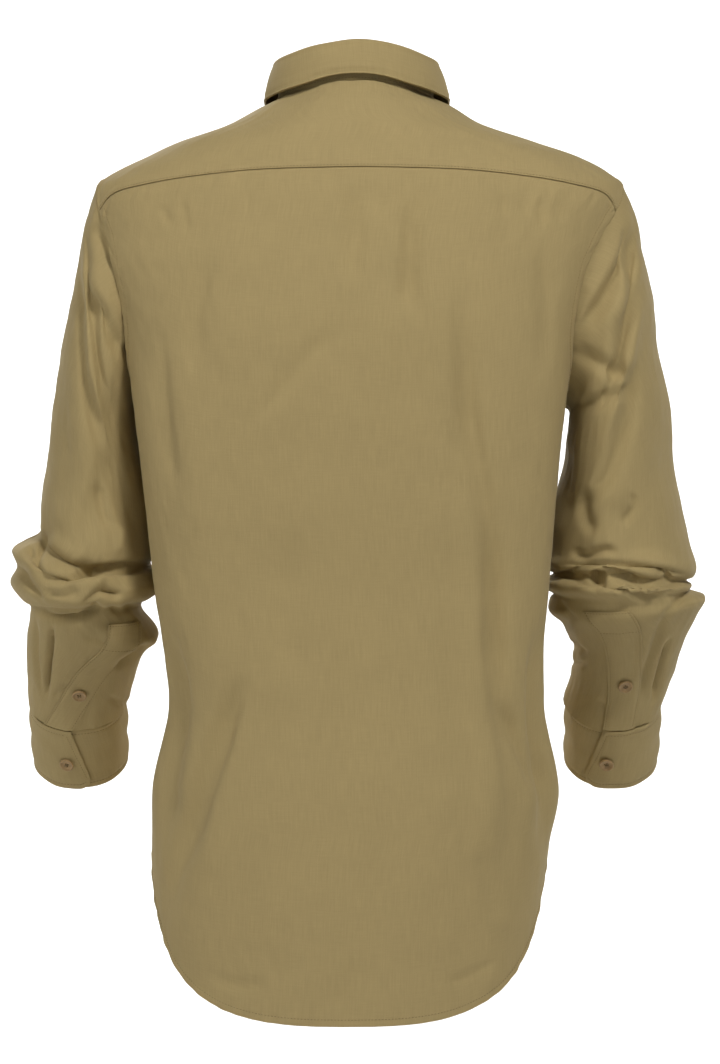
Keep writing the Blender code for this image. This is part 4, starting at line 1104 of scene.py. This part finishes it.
def make_stand(material):
    turn = np.linspace(-NECK_END, NECK_END, 200)[None, :]
    up = spaced(-0.12, 1, 29, fine=6)[:, None]
    points = stand(turn, up)
    out = grid_out(points, points - stand(turn, up, spread=-3.0))
    made = shell("cloth_collar_stand", points, out, BAND, material, "collar_stand")
    return made, stitches("thread_collar_stand", [beside(points, out, "first_row", 5.2)], THREAD_WITH_PAINTED_SEAM_SHADOW)


def make_collar(material):
    share = spaced(-1, 1, 470)
    turn = share * 176
    root = stand(turn, 1.0)
    radians = np.radians(turn)
    out = np.stack([np.sin(radians), np.cos(radians), np.zeros_like(turn)], axis=-1)
    rows = [root + out * across + np.array([0, 0, up]) for across, up in fold_rows(22)]
    stations = [row[0] for row in COLLAR_EDGE]
    x, y, lift = (along(stations, [row[i] for row in COLLAR_EDGE], np.abs(share)) for i in (1, 2, 3))
    x = x * np.sign(share)
    edge = np.stack([x, y, height_over(x, y) + lift], axis=-1)
    last = rows[-1]
    for t in spaced(0, 1, 45)[1:]:
        rows.append(last + (edge - last) * t + out * 4 * t * (1 - t) * 1.2)
    points = np.stack(rows)
    normal = np.cross(np.gradient(points, axis=0), np.gradient(points, axis=1))
    normal /= np.linalg.norm(normal, axis=-1, keepdims=True)
    rim = np.minimum.reduce([from_edge(points, e) for e in ("last_row", "first_column", "last_column")])
    rise = -0.5 * np.exp(-(((rim - 6.0) / 1.2) ** 2)) - 0.5 * np.exp(-((rim / 0.9) ** 2))
    rise += 0.3 * waves(lengths(points, 1), lengths(points, 0), 55, 81)
    points = points + normal * rise[..., None]
    normal = np.cross(np.gradient(points, axis=0), np.gradient(points, axis=1))
    normal /= np.linalg.norm(normal, axis=-1, keepdims=True)
    lines = [beside(points, normal, "last_row", 6.0)]
    for edge in ("first_column", "last_column"):
        lines.append(between(beside(points, normal, edge, 6.0), 14, 0))
    made = shell("cloth_collar", points, normal, BAND, material, "collar")
    return made, stitches("thread_collar", lines, THREAD_WITH_PAINTED_SEAM_SHADOW)


# Buttons

def button_mesh(radius, thickness, material):
    """A turned button with a raised rim and four holes, its back at the origin and its face along +Z."""
    profile = [(0.0, 0.0), (0.6, 0.0), (0.9, 0.2), (0.99, 0.45), (1.0, 0.62), (0.985, 0.82), (0.93, 0.96),
               (0.86, 1.0), (0.79, 0.97), (0.73, 0.84), (0.66, 0.72), (0.5, 0.64), (0.0, 0.6)]
    sides = 48
    turn = 2 * np.pi * np.arange(sides) / sides
    vertices, faces = [], []
    starts = []
    for share, height in profile:
        starts.append(len(vertices))
        if share == 0:
            vertices.append((0, 0, height * thickness))
        else:
            vertices += [(np.cos(t) * share * radius, np.sin(t) * share * radius, height * thickness) for t in turn]
    for r in range(len(profile) - 1):
        low, high = starts[r], starts[r + 1]
        for i in range(sides):
            j = (i + 1) % sides
            if profile[r][0] == 0:
                faces.append((low, high + j, high + i))
            elif profile[r + 1][0] == 0:
                faces.append((low + i, low + j, high))
            else:
                faces.append((low + i, low + j, high + j, high + i))
    disc = bpy.data.meshes.new("button")
    disc.from_pydata((np.array(vertices) * MM).tolist(), [], faces)
    disc.materials.append(material)
    body = bpy.data.objects.new("button_blank", disc)
    bpy.context.scene.collection.objects.link(body)
    tools = []
    for i in range(4):
        angle = np.radians(45 + 90 * i)
        place = Vector((np.cos(angle), np.sin(angle), 0)) * radius * 0.25 * MM
        tool = bpy.data.meshes.new("hole")
        ring = 14
        circle = [(np.cos(t), np.sin(t)) for t in 2 * np.pi * np.arange(ring) / ring]
        width, tall = radius * 0.115 * MM, thickness * 2 * MM
        points = [(place.x + c * width, place.y + s * width, z) for z in (-tall, tall) for c, s in circle]
        sides_ = [(k, (k + 1) % ring, ring + (k + 1) % ring, ring + k) for k in range(ring)]
        tool.from_pydata(points, [], sides_ + [tuple(range(ring))[::-1], tuple(range(ring, 2 * ring))])
        drill = bpy.data.objects.new("drill", tool)
        bpy.context.scene.collection.objects.link(drill)
        cut = body.modifiers.new("hole", "BOOLEAN")
        cut.operation, cut.solver, cut.object = "DIFFERENCE", "EXACT", drill
        tools.append(drill)
    bpy.context.view_layer.update()
    ready = bpy.data.meshes.new_from_object(body.evaluated_get(bpy.context.evaluated_depsgraph_get()))
    ready.shade_smooth()
    ready.set_sharp_from_angle(angle=np.radians(35))
    for old in [body, *tools]:
        bpy.data.objects.remove(old)
    return ready


def place_button(node, blank, centre, out, radius, thickness, thread_material_with_painted_shadow, twist=0.0):
    """One sewn-on button for a CAD node, with its crossed thread."""
    out = np.asarray(out, float) / np.linalg.norm(out)
    first = np.cross(out, (0.0, 0.0, 1.0))
    first /= np.linalg.norm(first)
    second = np.cross(out, first)
    first, second = np.cos(twist) * first + np.sin(twist) * second, np.cos(twist) * second - np.sin(twist) * first
    axes = np.stack([first, second, out], axis=1)
    data = blank.copy()
    vertices = np.empty(len(data.vertices) * 3)
    data.vertices.foreach_get("co", vertices)
    vertices = vertices.reshape(-1, 3) @ axes.T + np.asarray(centre) * MM
    data.vertices.foreach_set("co", vertices.ravel())
    data.update()
    made = bpy.data.objects.new(f"round_{node}", data)
    bpy.context.scene.collection.objects.link(made)
    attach(made, "root")
    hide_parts(node)
    lines = []
    for a, b in ((0, 2), (1, 3)):
        ends = [np.array([np.cos(t), np.sin(t)]) * radius * 0.25 for t in np.radians([45 + 90 * a, 45 + 90 * b])]
        for shift in (-0.22, 0.22):
            across = np.array([ends[1][1] - ends[0][1], ends[0][0] - ends[1][0]])
            across = across / np.linalg.norm(across) * shift
            t = np.linspace(0, 1, 9)
            flat = ends[0][None] * (1 - t[:, None]) + ends[1][None] * t[:, None] + across
            height = thickness * (0.42 + 0.36 * np.sin(np.pi * t) ** 0.5)
            lines.append(centre + flat[:, :1] * first + flat[:, 1:] * second + height[:, None] * out)
    tube(f"thread_{node}", lines, 0.21, thread_material_with_painted_shadow)
    return made


def tube(name, lines, radius, material):
    """Round threads along lines of points, as one piece."""
    vertices, faces = [], []
    sides = 6
    for line in lines:
        line = np.asarray(line)
        way = np.gradient(line, axis=0)
        way /= np.linalg.norm(way, axis=1, keepdims=True)
        side = np.cross(way, np.roll(way.mean(axis=0), 1) + (0.3, 0.2, 0.5))
        side /= np.linalg.norm(side, axis=1, keepdims=True)
        other = np.cross(way, side)
        start = len(vertices)
        for p, a, b in zip(line, side, other):
            for t in 2 * np.pi * np.arange(sides) / sides:
                vertices.append(p + (a * np.cos(t) + b * np.sin(t)) * radius)
        for r in range(len(line) - 1):
            for i in range(sides):
                j = (i + 1) % sides
                low = start + r * sides
                faces.append((low + i, low + j, low + sides + j, low + sides + i))
        faces.append(tuple(range(start, start + sides))[::-1])
        faces.append(tuple(range(len(vertices) - sides, len(vertices))))
    data = bpy.data.meshes.new(name)
    data.from_pydata((np.array(vertices) * MM).tolist(), [], faces)
    data.materials.append(material)
    data.shade_smooth()
    made = bpy.data.objects.new(name, data)
    bpy.context.scene.collection.objects.link(made)
    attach(made, "root")
    return made


# Materials


def noise(tree, vector, scale, detail=2.0, stretch=(1, 1, 1)):
    mapping = tree.nodes.new("ShaderNodeMapping")
    mapping.inputs["Scale"].default_value = stretch
    tree.links.new(vector, mapping.inputs["Vector"])
    node = tree.nodes.new("ShaderNodeTexNoise")
    node.inputs["Scale"].default_value = scale
    node.inputs["Detail"].default_value = detail
    tree.links.new(mapping.outputs["Vector"], node.inputs["Vector"])
    return node.outputs["Fac"]


def ramp(tree, value, low, high, dark, light):
    node = tree.nodes.new("ShaderNodeMapRange")
    for name, number in (("From Min", low), ("From Max", high), ("To Min", dark), ("To Max", light)):
        node.inputs[name].default_value = number
    tree.links.new(value, node.inputs["Value"])
    return node.outputs["Result"]


def scaled(tree, colour, factor):
    node = tree.nodes.new("ShaderNodeVectorMath")
    node.operation = "SCALE"
    if isinstance(colour, bpy.types.NodeSocket):
        tree.links.new(colour, node.inputs[0])
    else:
        node.inputs[0].default_value = colour[:3]
    tree.links.new(factor, node.inputs["Scale"])
    return node.outputs[0]


def cloth_material(name, colour):
    made = bpy.data.materials.new(name)
    made.use_nodes = True
    tree = made.node_tree
    shader = tree.nodes["Principled BSDF"]
    flat = tree.nodes.new("ShaderNodeUVMap")
    flat.uv_map = "flat"
    where = flat.outputs["UV"]
    warp = noise(tree, where, 1.0, 4.0, (1000, 45, 1))
    weft = noise(tree, where, 1.0, 4.0, (60, 1300, 1))
    cloud = noise(tree, where, 22.0, 3.0)
    shade = ramp(tree, warp, 0.3, 0.7, 0.95, 1.05)
    tinted = scaled(tree, colour, shade)
    tinted = scaled(tree, tinted, ramp(tree, weft, 0.3, 0.7, 0.97, 1.03))
    tinted = scaled(tree, tinted, ramp(tree, cloud, 0.3, 0.7, 0.98, 1.02))
    tree.links.new(tinted, shader.inputs["Base Color"])
    shader.inputs["Roughness"].default_value = 0.88
    shader.inputs["Specular IOR Level"].default_value = 0.25
    shader.inputs["Sheen Weight"].default_value = 0.08
    shader.inputs["Sheen Tint"].default_value = (0.9, 0.8, 0.55, 1.0)
    shader.inputs["Sheen Roughness"].default_value = 0.5
    bump = tree.nodes.new("ShaderNodeBump")
    bump.inputs["Strength"].default_value = 0.6
    bump.inputs["Distance"].default_value = 0.00012
    both = tree.nodes.new("ShaderNodeMath")
    tree.links.new(warp, both.inputs[0])
    tree.links.new(weft, both.inputs[1])
    tree.links.new(both.outputs[0], bump.inputs["Height"])
    wrinkle = tree.nodes.new("ShaderNodeBump")
    wrinkle.inputs["Strength"].default_value = 0.5
    wrinkle.inputs["Distance"].default_value = 0.0012
    tree.links.new(noise(tree, where, 55.0, 3.0, (1.0, 0.6, 1.0)), wrinkle.inputs["Height"])
    tree.links.new(wrinkle.outputs["Normal"], bump.inputs["Normal"])
    tree.links.new(bump.outputs["Normal"], shader.inputs["Normal"])
    return made


def plain_material(name, colour, roughness, spread=0.0):
    made = bpy.data.materials.new(name)
    made.use_nodes = True
    tree = made.node_tree
    shader = tree.nodes["Principled BSDF"]
    place = tree.nodes.new("ShaderNodeTexCoord")
    cloud = noise(tree, place.outputs["Object"], 400.0, 2.0)
    tinted = scaled(tree, colour, ramp(tree, cloud, 0.3, 0.7, 1 - spread, 1 + spread))
    tree.links.new(tinted, shader.inputs["Base Color"])
    shader.inputs["Roughness"].default_value = roughness
    return made


COTTON = cloth_material("cotton_khaki", (0.355, 0.268, 0.118))
# The thread is coloured darker than the cloth: its own colour plus painted seam shadow, the dark line that stands for
# the shade along each seam and round the button threads.
THREAD_WITH_PAINTED_SEAM_SHADOW = plain_material("sewing_thread_with_painted_seam_shadow", (0.19, 0.13, 0.05), 0.8, 0.05)
RESIN = plain_material("button_resin", (0.31, 0.195, 0.075), 0.5, 0.12)


def button_places(sleeves):
    """Centre and outward direction of every button, by CAD node."""
    found = {}
    for count, height in enumerate(FRONT_BUTTONS):
        place = pair([180.0], [float(height)])
        out = torso_normals(place)[0]
        found[f"front_button_{count + 1}"] = (torso(place[:, 0], place[:, 1])[0] + out * (LAY_GAP + CLOTH + 0.4), out)
    up = stand(np.array([180.0]), np.array([0.5]))[0] + np.array([0.0, -0.45, 0.0])
    found["stand_button"] = (up, np.array([0.0, -1.0, 0.0]))
    for side, name in ((1, "left"), (-1, "right")):
        turn = OVERLAPS[side].cuff_top - 6
        middle, inside = (cuff(side, 0.56 * CUFF_HEIGHT, turn, lift) for lift in (0.0, -10.0))
        out = (middle - inside) / 10
        found[f"{name}_cuff_button"] = (middle + out * 0.45, out)
        at = np.array([last_row(side) - 1.35])
        turn = placket_turn(side, at, 0.5)
        points, out = on_sleeve(sleeves[side], side, at, turn)
        found[f"{name}_placket_button"] = (points[0] + out[0] * 2.1, out[0])
    return found


# The cut of what shows of each piece: width, length and area in metres, how it is held, and by what
CUTS = {
    "back": (0.607, 0.697, 0.3044, "draped", ["yoke"]),
    "yoke": (0.694, 0.197, 0.0578, "draped", []),
    "front_left": (0.297, 0.747, 0.1548, "draped", ["yoke"]),
    "front_right": (0.299, 0.755, 0.1545, "draped", ["yoke"]),
    "front_placket": (0.036, 0.692, 0.0235, "draped", ["front_left"]),
    "collar_stand": (0.462, 0.030, 0.0116, "draped", ["yoke"]),
    "collar": (0.480, 0.082, 0.0204, "folded", ["collar_stand"]),
    "left_sleeve": (0.537, 0.513, 0.1481, "gathered", ["back"]),
    "left_sleeve_placket": (0.036, 0.136, 0.0037, "draped", ["left_sleeve"]),
    "left_cuff": (0.307, 0.066, 0.0189, "draped", ["left_sleeve"]),
    "right_sleeve": (0.546, 0.501, 0.1552, "gathered", ["back"]),
    "right_sleeve_placket": (0.042, 0.141, 0.0043, "draped", ["right_sleeve"]),
    "right_cuff": (0.318, 0.066, 0.0196, "draped", ["right_sleeve"]),
}


def dress():
    """Builds every piece of the shirt."""
    made = {}
    made["back"] = make_back(COTTON)
    made["yoke"] = make_yoke(COTTON)
    made["front_left"] = make_front(1, "front_left", COTTON)
    made["front_right"] = make_front(-1, "front_right", COTTON)
    made["front_placket"] = make_placket(COTTON)
    made["collar_stand"] = make_stand(COTTON)
    made["collar"] = make_collar(COTTON)
    sleeves = {}
    for side, name in ((1, "left"), (-1, "right")):
        piece, sleeves[side] = make_sleeve(side, f"{name}_sleeve", COTTON)
        made[f"{name}_sleeve"] = (piece, None)
        made[f"{name}_sleeve_placket"] = make_sleeve_placket(side, f"{name}_sleeve", sleeves[side], COTTON)
        made[f"{name}_cuff"] = make_cuff(side, f"{name}_cuff", COTTON)
    blank = button_mesh(BUTTON_RADIUS, BUTTON_THICKNESS, RESIN)
    for i, (node, (centre, out)) in enumerate(button_places(sleeves).items()):
        place_button(node, blank, centre, out, BUTTON_RADIUS, BUTTON_THICKNESS, THREAD_WITH_PAINTED_SEAM_SHADOW, twist=0.4 * i)
    for node, (width, length, area, held, below) in CUTS.items():
        piece, threads = made[node]
        threads = [threads] if threads else []


# Light, floor and camera

def area_light(name, place, target, size, power, colour=(1, 1, 1)):
    data = bpy.data.lights.new(name, "AREA")
    data.shape, data.size, data.energy, data.color = "DISK", size, power, colour
    lamp = bpy.data.objects.new(name, data)
    lamp.location = place
    lamp.rotation_mode = "QUATERNION"
    lamp.rotation_quaternion = (Vector(target) - Vector(place)).to_track_quat("-Z", "Y")
    bpy.context.scene.collection.objects.link(lamp)
    return lamp


def make_floor():
    """A plain pale floor that curves up into a low backdrop, all round."""
    ring, rows = 96, 14
    turn = 2 * np.pi * np.arange(ring) / ring
    profile = [(6.0, 0.0)]
    profile += [(6.0 + 2.5 * np.sin(t), 2.5 - 2.5 * np.cos(t)) for t in np.linspace(0.1, np.pi / 2, rows)]
    profile.append((8.6, 5.0))
    vertices, faces = [(0.0, 0.0, 0.0)], []
    for far, high in profile:
        vertices += [(far * np.cos(t), far * np.sin(t), high) for t in turn]
    for i in range(ring):
        faces.append((0, 1 + i, 1 + (i + 1) % ring))
    for r in range(len(profile) - 1):
        low, high = 1 + r * ring, 1 + (r + 1) * ring
        for i in range(ring):
            j = (i + 1) % ring
            faces.append((low + i, high + i, high + j, low + j))
    data = bpy.data.meshes.new("floor")
    data.from_pydata(vertices, [], faces)
    data.materials.append(plain_material("pale_floor", (0.78, 0.78, 0.78), 0.9))
    data.shade_smooth()
    floor = bpy.data.objects.new("floor", data)
    floor.location = (0.0, 0.0, -1.0)
    bpy.context.scene.collection.objects.link(floor)


def set_up():
    make_floor()
    world = bpy.data.worlds.new("studio")
    world.use_nodes = True
    world.node_tree.nodes["Background"].inputs["Color"].default_value = (1, 1, 1, 1)
    world.node_tree.nodes["Background"].inputs["Strength"].default_value = 0.1
    scene = bpy.context.scene
    scene.world = world
    scene.view_settings.view_transform = "Standard"
    shoulders = (0, 0, -0.2)
    area_light("key", (-0.9, 2.0, 1.75), shoulders, 0.6, 52)
    area_light("fill", (1.8, 1.8, 1.1), shoulders, 0.8, 22)
    area_light("front", (0.8, -2.4, 1.2), shoulders, 1.2, 30)
    for side in (-1, 1):
        area_light(f"backdrop_{side}", (side * 3.3, -3.1, 2.2), (side * 0.9, -7.5, -0.7), 1.8, 365)
    data = bpy.data.cameras.new("camera")
    data.lens = 122.3
    data.clip_start, data.clip_end = 0.1, 30
    camera = bpy.data.objects.new("camera", data)
    camera.location = (-0.0025, 3.0, -0.3675)
    camera.rotation_euler = (np.pi / 2, 0, np.pi)
    bpy.context.scene.collection.objects.link(camera)
    bpy.context.scene.camera = camera


dress()
set_up()
